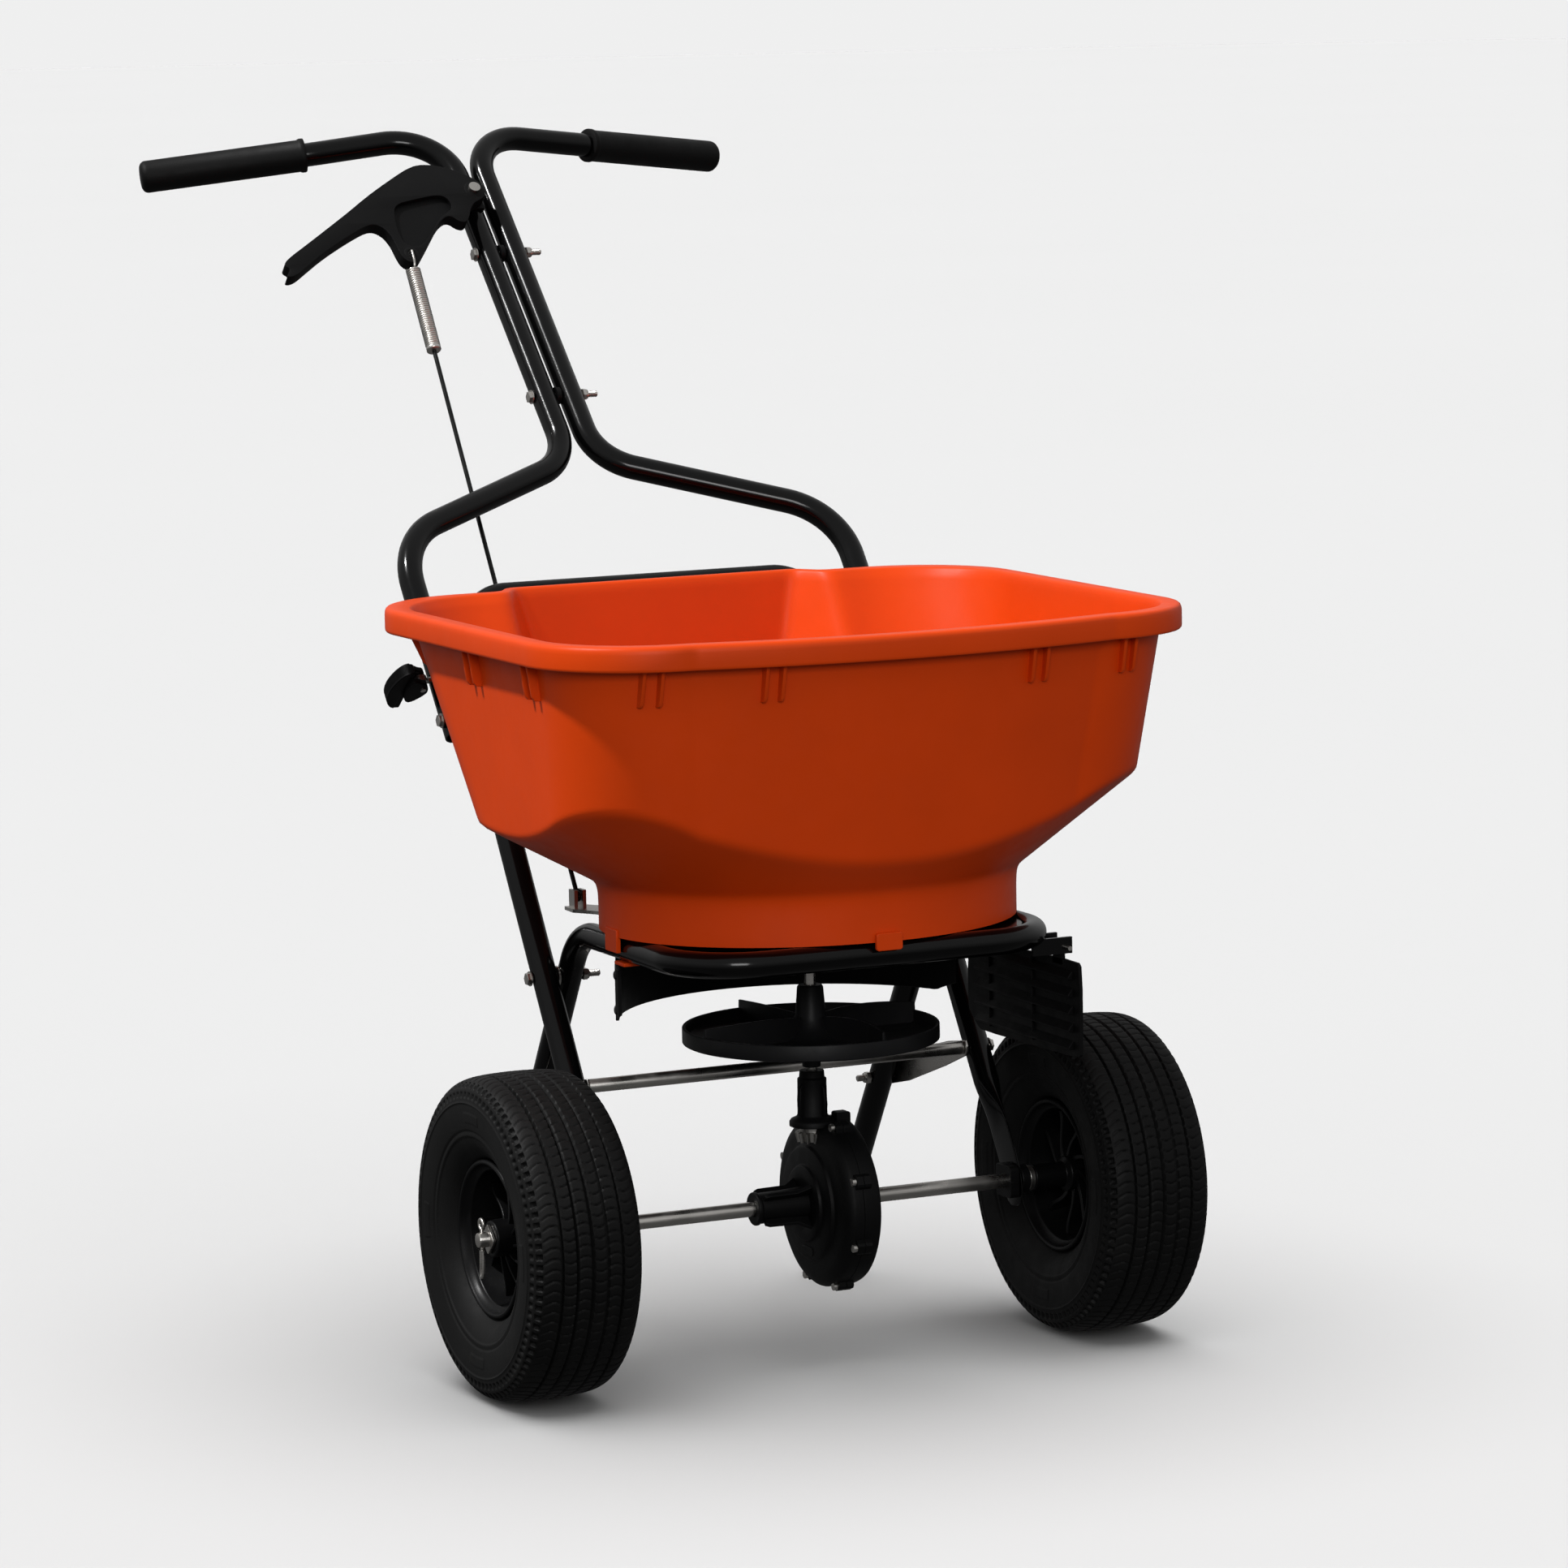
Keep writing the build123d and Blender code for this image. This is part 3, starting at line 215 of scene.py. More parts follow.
def smooth_outline(points, rounds=2):
    """Rounds the corners of a closed outline by cutting them."""
    pts = np.asarray(points, float)
    for _ in range(rounds):
        nxt = np.roll(pts, -1, axis=0)
        pts = np.stack([pts * 0.75 + nxt * 0.25, pts * 0.25 + nxt * 0.75], axis=1).reshape(-1, 2)
    return pts


def rect_outline(w, h, r, n=5):
    """Rectangle with rounded corners."""
    out = []
    for cx, cy, a0 in ((w / 2 - r, h / 2 - r, 0), (-w / 2 + r, h / 2 - r, 90),
                       (-w / 2 + r, -h / 2 + r, 180), (w / 2 - r, -h / 2 + r, 270)):
        for k in range(n + 1):
            a = math.radians(a0 + 90 * k / n)
            out.append((cx + r * math.cos(a), cy + r * math.sin(a)))
    return out


def turned(part, axis, origin, angle):
    """Rotates a part about an axis through a point."""
    m = np.array(Matrix.Rotation(math.radians(angle), 3, Vector(axis)))
    verts = (np.asarray(part[0]) - np.asarray(origin)) @ m.T + np.asarray(origin)
    return verts, part[1]


def ring_points(r, n):
    """The same ring as a list of pairs."""
    return [(r * math.cos(2 * math.pi * k / n), r * math.sin(2 * math.pi * k / n)) for k in range(n)]


def hex_part(at, axis, size, height, chamfer=0.8):
    """Hexagon with both ends chamfered."""
    axis = unit(axis)
    side = unit(np.cross(axis, Z if abs(axis[2]) < 0.9 else Y))
    up = np.cross(axis, side)
    rows = []
    for s, k in ((0, 0.86), (chamfer * 0.5, 1.0), (height - chamfer * 0.5, 1.0), (height, 0.86)):
        rows.append([np.asarray(at) + axis * s + side * u * k + up * v * k for u, v in ring_points(size, 6)])
    verts = np.vstack(rows)
    faces = grid_faces(4, 6)
    faces.append([5, 4, 3, 2, 1, 0])
    faces.append([18 + k for k in range(6)])
    return verts, faces


def threaded(a, b, r, pitch=1.25, seg=20):
    """Shank whose rings read as a thread."""
    a, b = np.asarray(a, float), np.asarray(b, float)
    length = np.linalg.norm(b - a)
    prof, s = [(0, r)], 0.4
    while s < length - pitch:
        prof += [(s, r), (s + pitch * 0.45, r * 0.87), (s + pitch * 0.6, r * 0.87)]
        s += pitch
    prof += [(length - 0.8, r), (length, r * 0.75)]
    return lathe(prof, a, b - a, seg)


def bolt(head_at, tip, r=3.0, head=5.5, thick=4.0, nut_at=None, nut_h=4.6):
    """Hex bolt with washer, thread and self-locking nut."""
    a, b = np.asarray(head_at, float), np.asarray(tip, float)
    d = unit(b - a)
    washer_r = head * 1.18
    washer = [(-0.1, r), (-0.1, washer_r), (0.75, washer_r), (0.75, r)]
    parts = [hex_part(a - d * thick, d, head, thick), threaded(a, b, r)]
    parts.append(lathe(washer, a - d * 0.8, d, 28, True))
    if nut_at is not None:
        n = np.asarray(nut_at, float)
        locking_ring = [(0, head * 0.80), (1.2, head * 0.80), (1.7, head * 0.62), (1.7, r)]
        parts += [hex_part(n, d, head, nut_h), lathe(locking_ring, n + d * nut_h, d, 24)]
    return merge(parts)


def filled_plate(loops, half):
    """Flat plate from -half to half inside an outline and outside its holes, filled by Blender's curves."""
    curve = bpy.data.curves.new("plate_outline", "CURVE")
    curve.dimensions, curve.fill_mode = "2D", "BOTH"
    curve.extrude = half
    for loop in loops:
        spline = curve.splines.new("POLY")
        spline.points.add(len(loop) - 1)
        for point, (u, v) in zip(spline.points, loop):
            point.co = (u, v, 0, 1)
        spline.use_cyclic_u = True
    obj = bpy.data.objects.new("plate_outline", curve)
    bpy.context.scene.collection.objects.link(obj)
    bpy.context.view_layer.update()
    data = bpy.data.meshes.new_from_object(obj.evaluated_get(bpy.context.evaluated_depsgraph_get()))
    verts = np.array([v.co for v in data.vertices], float)
    faces = [list(p.vertices) for p in data.polygons]
    bpy.data.objects.remove(obj)
    return verts, faces


# ---------------------------------------------------------------- node materials
DUST_COLOR = (0.35, 0.32, 0.28)


def shader(name, color, rough, metallic=0.0, vary=0.06, rough_vary=0.08, bump=0.0, bump_scale=400.0,
           coat=0.0, dust=0.0, scratch=0.0, spec=0.5, blotch=6.0):
    """Principled material with uneven colour and gloss, dust, grain and drawn scratches."""
    mat = bpy.data.materials.new(name)
    mat.use_nodes = True
    tree = mat.node_tree
    nodes, links = tree.nodes, tree.links
    nodes.clear()
    out = nodes.new("ShaderNodeOutputMaterial")
    bsdf = nodes.new("ShaderNodeBsdfPrincipled")
    links.new(bsdf.outputs[0], out.inputs[0])
    bsdf.inputs["Metallic"].default_value = metallic
    bsdf.inputs["Coat Weight"].default_value = coat
    bsdf.inputs["Coat Roughness"].default_value = 0.08
    bsdf.inputs["Specular IOR Level"].default_value = spec
    coord = nodes.new("ShaderNodeTexCoord")

    def noise(scale, detail=4.0, roughness=0.55, vector=coord.outputs["Object"]):
        n = nodes.new("ShaderNodeTexNoise")
        n.inputs["Scale"].default_value = scale
        n.inputs["Detail"].default_value = detail
        n.inputs["Roughness"].default_value = roughness
        links.new(vector, n.inputs["Vector"])
        return n.outputs[0]

    def remap(value, *limits):
        r = nodes.new("ShaderNodeMapRange")
        for key, limit in zip(("From Min", "From Max", "To Min", "To Max"), limits):
            r.inputs[key].default_value = limit
        links.new(value, r.inputs["Value"])
        return r.outputs[0]

    def bumped(height, strength, distance, normal):
        b = nodes.new("ShaderNodeBump")
        b.inputs["Strength"].default_value = strength
        b.inputs["Distance"].default_value = distance
        links.new(height, b.inputs["Height"])
        if normal is not None:
            links.new(normal, b.inputs["Normal"])
        return b.outputs[0]

    def mix(fac, a, b):
        m = nodes.new("ShaderNodeMix")
        m.data_type = "RGBA"
        links.new(fac, m.inputs["Factor"])
        for slot_name, value in (("A", a), ("B", b)):
            socket = [s for s in m.inputs if s.name == slot_name and s.type == "RGBA"][0]
            if isinstance(value, tuple):
                socket.default_value = (*value, 1)
            else:
                links.new(value, socket)
        return [s for s in m.outputs if s.type == "RGBA"][0]

    large, fine = noise(blotch), noise(55.0, 6.0)
    dark = tuple(c * (1 - vary * 2.2) for c in color)
    light = tuple(min(1.0, c * (1 + vary)) for c in color)
    base = mix(remap(large, 0.3, 0.7, 0, 1), dark, light)
    rough_out = remap(fine, 0.25, 0.75, max(0.03, rough - rough_vary), min(1.0, rough + rough_vary))
    if dust > 0:
        specks = remap(noise(18.0, 8.0, 0.7), 0.52, 0.78, 0, dust)
        base = mix(specks, base, DUST_COLOR)
    links.new(base, bsdf.inputs["Base Color"])
    links.new(rough_out, bsdf.inputs["Roughness"])
    normal = None
    if scratch > 0:
        stretch = nodes.new("ShaderNodeMapping")
        stretch.inputs["Scale"].default_value = (1.0, 22.0, 22.0)
        links.new(coord.outputs["Object"], stretch.inputs["Vector"])
        normal = bumped(noise(30.0, 3.0, 0.5, stretch.outputs[0]), scratch, 0.0004, normal)
    if bump > 0:
        normal = bumped(noise(bump_scale, 3.0), bump, 0.0006, normal)
    if normal is not None:
        links.new(normal, bsdf.inputs["Normal"])
    return mat


MATS = {
    "hopper_orange": shader("hopper_orange", (0.66, 0.053, 0.0026), 0.42, vary=0.03, rough_vary=0.06,
                            bump=0.10, bump_scale=900.0, blotch=9.0, spec=0.14),
    "frame_black": shader("frame_black", (0.0016, 0.0016, 0.0017), 0.16, vary=0.2, rough_vary=0.04, bump=0.05,
                          bump_scale=700.0, coat=0.18, dust=0.001, spec=0.16),
    "zinc": shader("zinc", (0.56, 0.54, 0.51), 0.30, metallic=1.0, vary=0.10, rough_vary=0.10, bump=0.06,
                   bump_scale=500.0, scratch=0.35),
    "black_plastic": shader("black_plastic", (0.0026, 0.0026, 0.0028), 0.50, vary=0.2, bump=0.22,
                            bump_scale=1400.0, dust=0.003, spec=0.12),
    "rim_plastic": shader("rim_plastic", (0.0026, 0.0026, 0.0028), 0.40, vary=0.2, bump=0.12,
                          bump_scale=900.0, dust=0.003, spec=0.13),
    "tyre_rubber": shader("tyre_rubber", (0.0040, 0.0040, 0.0040), 0.60, vary=0.25, rough_vary=0.1, bump=0.25,
                          bump_scale=1100.0, dust=0.010, spec=0.14),
    "grip_rubber": shader("grip_rubber", (0.0030, 0.0030, 0.0030), 0.55, vary=0.2, bump=0.3,
                          bump_scale=1300.0, spec=0.14),
    "impeller_plastic": shader("impeller_plastic", (0.0050, 0.0050, 0.0055), 0.45, vary=0.2, bump=0.1,
                               bump_scale=900.0, dust=0.008, spec=0.16),
    "foot_rubber": shader("foot_rubber", (0.006, 0.006, 0.006), 0.7, vary=0.2, bump=0.3, bump_scale=900.0,
                          dust=0.01, spec=0.14),
    "gear_steel": shader("gear_steel", (0.40, 0.39, 0.37), 0.38, metallic=1.0, vary=0.12, scratch=0.3),
}
NODE_SLOT = {s["node"]: s["material_slot"] for s in frame["record"]["subparts"]}


def piece(name, part, body, slot, *nodes, angle=35.0, bevel=0.0, segments=2, weld=0.0):
    """Makes one piece of (verts, faces) with its material, body, slot and the nodes it stands for."""
    obj = solid(name, *part, angle=angle)
    obj.data.materials.append(MATS[slot])
    if weld > 0:
        obj.modifiers.new("weld", "WELD").merge_threshold = weld * MM
    if bevel > 0:
        soft = obj.modifiers.new("soft_edges", "BEVEL")
        soft.width = bevel * MM
        soft.segments = segments
        soft.limit_method = "ANGLE"
        soft.angle_limit = math.radians(38)
        soft.harden_normals = False
    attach(obj, body)
    if nodes:
        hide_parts(*nodes)


# ---------------------------------------------------------------- hopper
# The outline at the rim, and how far each wall leans in for each millimetre of depth.
WALL = 3.5
TOP_Z = 646.0
HALF_X, FRONT_Y, REAR_Y = 282.5, -213.5, 274.0
LEAN_X, LEAN_FRONT, LEAN_REAR = 0.11, 0.164, 0.57
BOW = 26.0
BULGE_REAR, BULGE_HALF, BULGE_NEAR, BULGE_SLOPE = 305.0, 137.0, 240.0, 0.62
BLEND = 9.0
NECK_Z, NECK_TOP = 381.4, 421.7
NECK_A, NECK_B = 183.0, 152.0
FLOOR_T = 4.0
PORTS, PORT_R, SHAFT_HOLE_R = ((-38, -50), (0, -63), (38, -50)), 13, 5.2


def smin(a, b, k):
    """Smaller of two distances, blended over k."""
    h = np.clip(0.5 + 0.5 * (b - a) / k, 0, 1)
    return b * (1 - h) + a * h - k * h * (1 - h)


def smax(a, b, k):
    return -smin(-a, -b, k)


def box_sdf(x, y, half, front, rear, r_front, r_rear):
    """Rounded box with a bowed front."""
    bow = BOW * (1 - np.clip(x / (half - r_front), -1, 1) ** 2)
    yc = (front + BOW + rear) / 2
    hy = (rear - front - BOW) / 2
    yy = y + bow * np.clip((yc - y) / hy, 0, 1) - yc
    r = np.where(yy < 0, r_front, r_rear)
    qx, qy = np.abs(x) - (half - r), np.abs(yy) - (hy - r)
    return np.hypot(np.maximum(qx, 0), np.maximum(qy, 0)) + np.minimum(np.maximum(qx, qy), 0) - r


def wall_sdf(x, y, z):
    """The hopper's outer wall at height z."""
    drop = TOP_Z - z
    half, front, rear = HALF_X - LEAN_X * drop, FRONT_Y + LEAN_FRONT * drop, REAR_Y - LEAN_REAR * drop
    return box_sdf(x, y, half, front, rear, 92.0, 104.0)


def bulge_sdf(x, y, z):
    """Block with slanted sides behind the rear wall."""
    drop = TOP_Z - z
    rear, out, near = BULGE_REAR - 0.2 * drop, BULGE_HALF - 0.24 * drop, BULGE_NEAR - 0.53 * drop
    slant = unit((1.0, BULGE_SLOPE, 0.0))
    side = (np.abs(x) - out) * slant[0] + (y - rear) * slant[1]
    foot = np.maximum(near - 30.0 - y, np.abs(x) - out - (rear - near) * BULGE_SLOPE - 10.0)
    return np.maximum(smax(y - rear, side, 7.0), foot)


def mouth_f(x, y):
    return smin(wall_sdf(x, y, TOP_Z), bulge_sdf(x, y, TOP_Z), BLEND)


def rim_f(x, y):
    return smin(box_sdf(x, y, 288.0, -219.0, 281.0, 96.0, 93.0), bulge_sdf(x, y, TOP_Z), BLEND)


def hopper_f(x, y, z, inset):
    """Negative inside the hopper: its walls cut by a funnel that grows out of the oval neck."""
    body = smin(wall_sdf(x, y, z), bulge_sdf(x, y, z), BLEND)
    rise = z - NECK_TOP - inset * 1.35
    rise = np.where(rise > 5, rise, 5 * np.exp(np.clip(rise / 5 - 1, -30, 0)))
    a, b = NECK_A + 1.74 * rise - inset, NECK_B + 1.8 * rise - inset
    q = np.sqrt((x / a) ** 2 + ((y - 0.81 * rise) / b) ** 2)
    return smax(body + inset, (q - 1) * np.minimum(a, b), 4.5)


def polar(func, angles, reach=460.0, centre=(0.0, 12.0)):
    """Points where func turns positive on rays from the centre."""
    lo, hi = np.full(len(angles), 5.0), np.full(len(angles), reach)
    cx, cy = centre
    for _ in range(36):
        mid = (lo + hi) / 2
        f = func(cx + mid * np.cos(angles), cy + mid * np.sin(angles))
        lo, hi = np.where(f < 0, mid, lo), np.where(f < 0, hi, mid)
    mid = (lo + hi) / 2
    return np.stack([cx + mid * np.cos(angles), cy + mid * np.sin(angles)], axis=1)


def hopper_shell():
    """Rows of points up the outside, over the turned-down rim and down the inside."""
    n = 560
    angles = np.arange(n) * 2 * math.pi / n
    rows = []

    def walls(heights, inset):
        for z in heights:
            line = polar(lambda x, y: hopper_f(x, y, z, inset), angles)
            rows.append(np.column_stack([line, np.full(n, z)]))

    def edge(outline, pairs):
        for grow, z in pairs:
            line = polar(lambda x, y: outline(x, y) - grow, angles)
            rows.append(np.column_stack([line, np.full(n, z)]))

    walls([*np.arange(NECK_Z, 640.0, 3.0), 640.0], 0.0)
    edge(mouth_f, ((1.2, 641.6), (2.6, 642.2)))
    edge(rim_f, ((4.6, 642.2), (5.7, 641.2), (6.0, 639.0), (6.0, 628.0), (6.3, 626.0), (7.0, 625.1),
                 (7.9, 625.1), (8.7, 626.0), (9.0, 627.8), (9.0, 639.4), (8.7, 642.2), (7.9, 644.4),
                 (6.4, 645.6), (4.6, TOP_Z)))
    edge(mouth_f, ((-0.6, TOP_Z), (-2.2, 645.4), (-3.2, 643.8)))
    walls([640.0, *np.arange(636.0, NECK_Z + FLOOR_T, -4.0), NECK_Z + FLOOR_T], WALL)
    return np.vstack(rows), grid_faces(len(rows), n)


def wall_hit(x, y, way, z):
    """Distance from (x, y) along way to the outer wall at height z."""
    lo, hi = 0.0, 380.0
    for _ in range(40):
        mid = (lo + hi) / 2
        inside = hopper_f(np.array([x + way[0] * mid]), np.array([y + way[1] * mid]), z, 0.0)[0] < 0
        lo, hi = (mid, hi) if inside else (lo, mid)
    return (lo + hi) / 2


piece("hopper_shell", hopper_shell(), "frame", "hopper_orange", "hopper", angle=50)

GUSSET_Z = 594.0
corner = math.radians(25.0)
spots = [(x, 0.0, (0.0, -1.0)) for x in (-228.0, -214.0, -129.0, -115.0, 113.0, 127.0, 208.0, 220.0)]
for s in (-1, 1):
    spots += [(0.0, y, (s, 0.0)) for y in (-80.0, -66.0, 44.0, 58.0)]
    spots.append((s * 178.5, 170.0, (s * math.cos(corner), math.sin(corner))))
gussets = []
for x, y, way in spots:
    hits = [wall_hit(x, y, way, z) for z in (GUSSET_Z, GUSSET_Z + 4.0, 630.0, 640.0)]
    outline = [(hits[0] - 1.0, GUSSET_Z), (hits[0] + 5.0, GUSSET_Z + 0.6), (hits[1] + 7.2, GUSSET_Z + 4.0),
               (hits[2] + 9.0, 630.0), (hits[3] + 9.6, 641.6), (hits[3] - 2.0, 641.6)]
    gussets.append(prism(outline, (x, y, 0), (*way, 0), Z, -1.5, 1.5))
piece("hopper_gussets", merge(gussets), "frame", "hopper_orange", bevel=0.6)

floor_loops = [circle(1.0, 180) * (NECK_A - 0.6, NECK_B - 0.6)]
for x, y, r in (*((x, y, PORT_R) for x, y in PORTS), (0, 0, SHAFT_HOLE_R)):
    floor_loops.append(circle(r, 40) + (x, y))
floor_verts, floor_faces = filled_plate(floor_loops, FLOOR_T / 2)
piece("hopper_floor", (floor_verts + Z * (NECK_Z + FLOOR_T / 2), floor_faces), "frame", "hopper_orange")

clips = [prism(rect_outline(24.0, 15.0, 2.5), (0, -NECK_B - 2.6, 382.0), X, Z, -2.2, 2.0)]
for s in (-1, 1):
    for x0, x1, half, z0, z1 in ((150.5, 154.5, 10.0, 355.5, 384.0), (150.5, 177.0, 10.0, 355.5, 358.7),
                                 (180.0, 184.2, 12.0, 368.0, 388.0)):
        clips.append(brick(s * x0, s * x1, -half, half, z0, z1))
piece("hopper_clips", merge(clips), "frame", "hopper_orange", bevel=0.8)

# ---------------------------------------------------------------- tubes
# LEG_RUN and STAND_RUN are how far a tube runs back for each millimetre of height.
TUBE_R, TUBE_WALL = 11.1, 1.6
LEG_X, LEG_RUN = 192.6, 0.633
RING_X, RING_FRONT, RING_Z = 168.0, -140.0, 370.0
BREAK_Y, STAND_RUN = 102.0, 0.617
GRIP_IN, GRIP_OUT = vec(135.8, 761.5, 1015.7), vec(293.3, 801.0, 998.0)
BAR_TOP, BAR_LOW = vec(13.3, 745.8, 1030.0), vec(13.3, 461.0, 741.3)
BAR_SIDE, BAR_END = vec(215.0, 374.0, 688.0), vec(215.0, 250.6, 526.0)
BAR_DIR = unit(BAR_LOW - BAR_TOP)
LEVER_N = vec(0, BAR_DIR[2], -BAR_DIR[1])
BOW_X, BOW_LOW, BOW_TOP = 170.5, 512.0, 638.0


def mirrored(p, s):
    return vec(p[0] * s, p[1], p[2])


def leg_y(z):
    return (z - AXLE_Z) * LEG_RUN


def stand_y(z):
    return BREAK_Y + (RING_Z - z) * STAND_RUN


def bow_y(z):
    return 251.0 + (z - 530.0) * 0.815


grip_dir = unit(GRIP_OUT - GRIP_IN)
for name, s in SIDES:
    pts = [mirrored(p, s) for p in (GRIP_OUT - grip_dir * 6, GRIP_IN, BAR_TOP, BAR_LOW, BAR_SIDE, BAR_END)]
    piece("handle_tube_" + name, tube(pts, (100, 58, 58, 75), TUBE_R, TUBE_WALL, 36), "frame", "frame_black",
          "handle_" + name, angle=60)

base_pts = [(-RING_X, stand_y(3), 3), (-RING_X, BREAK_Y, RING_Z), (-RING_X, RING_FRONT, RING_Z),
            (RING_X, RING_FRONT, RING_Z), (RING_X, BREAK_Y, RING_Z), (RING_X, stand_y(3), 3)]
piece("base_tube_bent", tube(base_pts, (55, 65, 65, 55), TUBE_R, TUBE_WALL, 36), "frame", "frame_black",
      "base_tube", angle=60)

bow_pts = [(s * BOW_X, bow_y(z), z) for s, z in ((-1, BOW_LOW), (-1, BOW_TOP), (1, BOW_TOP), (1, BOW_LOW))]
piece("rear_bow_tube", tube(bow_pts, (40, 40), 9.5, 1.5, 32), "frame", "frame_black", "rear_bow", angle=60)

# Each leg is round down to z 214 and then pressed flat towards the axle, with a rounded end.
for name, s in SIDES:
    heights = (600.0, 598.0, 400.0, 214.0, 208.0, 202.0, 196.0, 190.0, 184.0, 178.0, 172.0, 160.0, 150.0)
    path = [vec(s * LEG_X, leg_y(z), z) for z in heights]
    for y, z in ((4.0, 140.0), (1.5, 131.0), (0.0, 122.0), (-0.5, 115.5), (-0.6, 112.6)):
        path.append(vec(s * LEG_X, y, z))
    flat = [0, 0, 0, 0, 0.10, 0.28, 0.50, 0.72, 0.88, 0.97] + [1] * 8
    ends = [1] * 15 + [0.94, 0.72, 0.40]
    scales = [((1 - f) + f * 0.19, ((1 - f) + f * 1.48) * e) for f, e in zip(flat, ends)]
    leg = sweep(path, circle(TUBE_R, 36), scales=scales, up=Y)
    piece("leg_tube_" + name, leg, "frame", "frame_black", "leg_" + name, angle=60)

# ---------------------------------------------------------------- grips
for name, s in SIDES:
    a = mirrored(GRIP_IN + grip_dir * 8, s)
    d = unit(mirrored(GRIP_OUT, s) - a)
    length = float(np.linalg.norm(mirrored(GRIP_OUT, s) - a))
    prof = [(0.0, 11.3), (0.0, 14.4), (0.4, 15.6), (1.4, 16.0), (4.0, 16.0), (5.2, 15.7), (6.4, 15.0)]
    for turn in np.radians(range(0, 91, 15)):
        prof.append((length - 6.0 + 6.0 * math.sin(turn), 9.0 + 6.0 * math.cos(turn)))
    prof.append((length, 4.0))
    piece("grip_sleeve_" + name, lathe(prof, a, d, 48), "frame", "grip_rubber", "grip_" + name, angle=45)

# ---------------------------------------------------------------- feet, crossbar, straps
feet = []
FOOT_LEVEL = -1.4
foot_rows = ((28.0, 11.3), (28.4, 12.6), (27.6, 13.7), (26.0, 14.0), (21.0, 14.0), (20.2, 13.5), (18.6, 13.5),
             (17.8, 14.0), (FOOT_LEVEL, 14.0), (-2.6, 13.4), (-3.0, 12.2))
for _, s in SIDES:
    d = unit(vec(s * RING_X, stand_y(0), 0) - vec(s * RING_X, stand_y(30), 30))
    w = np.cross(d, X)
    rows, m = [], 40
    for z, r in foot_rows:
        for u, v in ring_points(r, m):
            p = vec(s * RING_X, stand_y(z), z) + (X * u + w * v)
            if z <= FOOT_LEVEL:
                p = p - d * ((p[2] - z) / d[2])
            rows.append(p)
    faces = grid_faces(len(foot_rows), m, flip=True)
    faces.append(list(range(len(rows) - m, len(rows))))
    feet.append((np.array(rows), faces))
piece("stand_foot_caps", merge(feet), "frame", "foot_rubber", "stand_feet", angle=45)

CROSS_Z = 242.0
CROSS_Y = leg_y(CROSS_Z) + 2.0
piece("crossbar_rod", rounded_rod((-179.1, CROSS_Y, CROSS_Z), (179.1, CROSS_Y, CROSS_Z), 6.0, 0.8, 32),
      "frame", "zinc", "crossbar")

STRAP_Z = 196.0
strap_y = stand_y(STRAP_Z)
for name, s in SIDES:
    outline = [(CROSS_Y - 3.0, CROSS_Z - 9.0), (CROSS_Y - 10.0, CROSS_Z), (CROSS_Y - 4.0, CROSS_Z + 9.5),
               (strap_y - 17.0, STRAP_Z + 24.0), (strap_y + 11.0, STRAP_Z + 2.0),
               (strap_y + 6.0, STRAP_Z - 13.0)]
    part = prism(smooth_outline(outline, 1), (s * 180.3, 0, 0), Y, Z, -1.0, 1.0)
    piece("brace_strap_" + name, part, "frame", "zinc", "strap_" + name, bevel=0.4)

# ---------------------------------------------------------------- fasteners
# Places are (y, z): the fold lever's post, the bolt below it, the leg's bolt and the strap's bolt.
FOLD, LOW, MID, STRAP = (281.5, 573.0), (256.0, 540.0), (127.0, 329.0), (strap_y, STRAP_Z)
# The x of the head, the tip and the nut, and the place.
NUT_BOLTS = ((204.6, 140, 156.6, MID), (182.6, 144, 156.6, STRAP), (227.2, 146, 160.6, LOW))
parts = []
for _, s in SIDES:
    for head_x, tip_x, nut_x, at in NUT_BOLTS:
        parts.append(bolt((s * head_x, *at), (s * tip_x, *at), nut_at=(s * nut_x, *at)))
    parts.append(bolt((s * 204.6, CROSS_Y, CROSS_Z), (s * 190, CROSS_Y, CROSS_Z)))
piece("frame_bolt_set", merge(parts), "frame", "zinc", "frame_bolts", angle=30)

parts = []
for d in (152.0, 328.0):
    at = BAR_TOP + BAR_DIR * d
    parts.append(bolt((-24.8, at[1], at[2]), (40.0, at[1], at[2]), nut_at=(24.9, at[1], at[2]), nut_h=4.0))
piece("handle_bolt_set", merge(parts), "frame", "zinc", "handle_bolts", angle=30)

# ---------------------------------------------------------------- control lever
# The lever's plane is parallel to the handle's two middle tubes, 20 mm in front of them.
LEVER_O = vec(0, BAR_TOP[1], BAR_TOP[2]) + LEVER_N * 20.0
LEVER_HALF, LEVER_WEB = 6.0, 1.6
PIVOT_HOLE, SPRING_HOLE = (-16.0, 93.6), (-101.7, 169.2)


def lever_point(x, s):
    """Point in the lever's middle plane, s along the handle tubes."""
    return LEVER_O + X * x + BAR_DIR * s


BLADE = [(-5, 100), (-6, 86), (-20, 74), (-38, 64), (-58, 60), (-73, 64), (-98, 80), (-123, 97), (-149, 117),
         (-175, 136), (-200, 154), (-224, 171), (-229, 178), (-223, 183), (-231, 192), (-222, 192),
         (-204, 178), (-187, 165), (-167, 152), (-147, 140), (-129, 131), (-119, 137), (-114, 150),
         (-113, 165), (-111, 176), (-105, 181), (-98, 180), (-92, 173), (-75, 150), (-62, 132), (-50, 124),
         (-42, 134), (-34, 134), (-24, 112), (-12, 106)]
WEB = [(-100, 109), (-80, 104), (-56, 99), (-46, 102), (-43, 114), (-50, 121), (-60, 127), (-74, 146),
       (-90, 163), (-104, 160), (-107, 145), (-105, 125)]
web = smooth_outline(WEB)
edge_verts, edge_faces = filled_plate([smooth_outline(BLADE), web], LEVER_HALF)
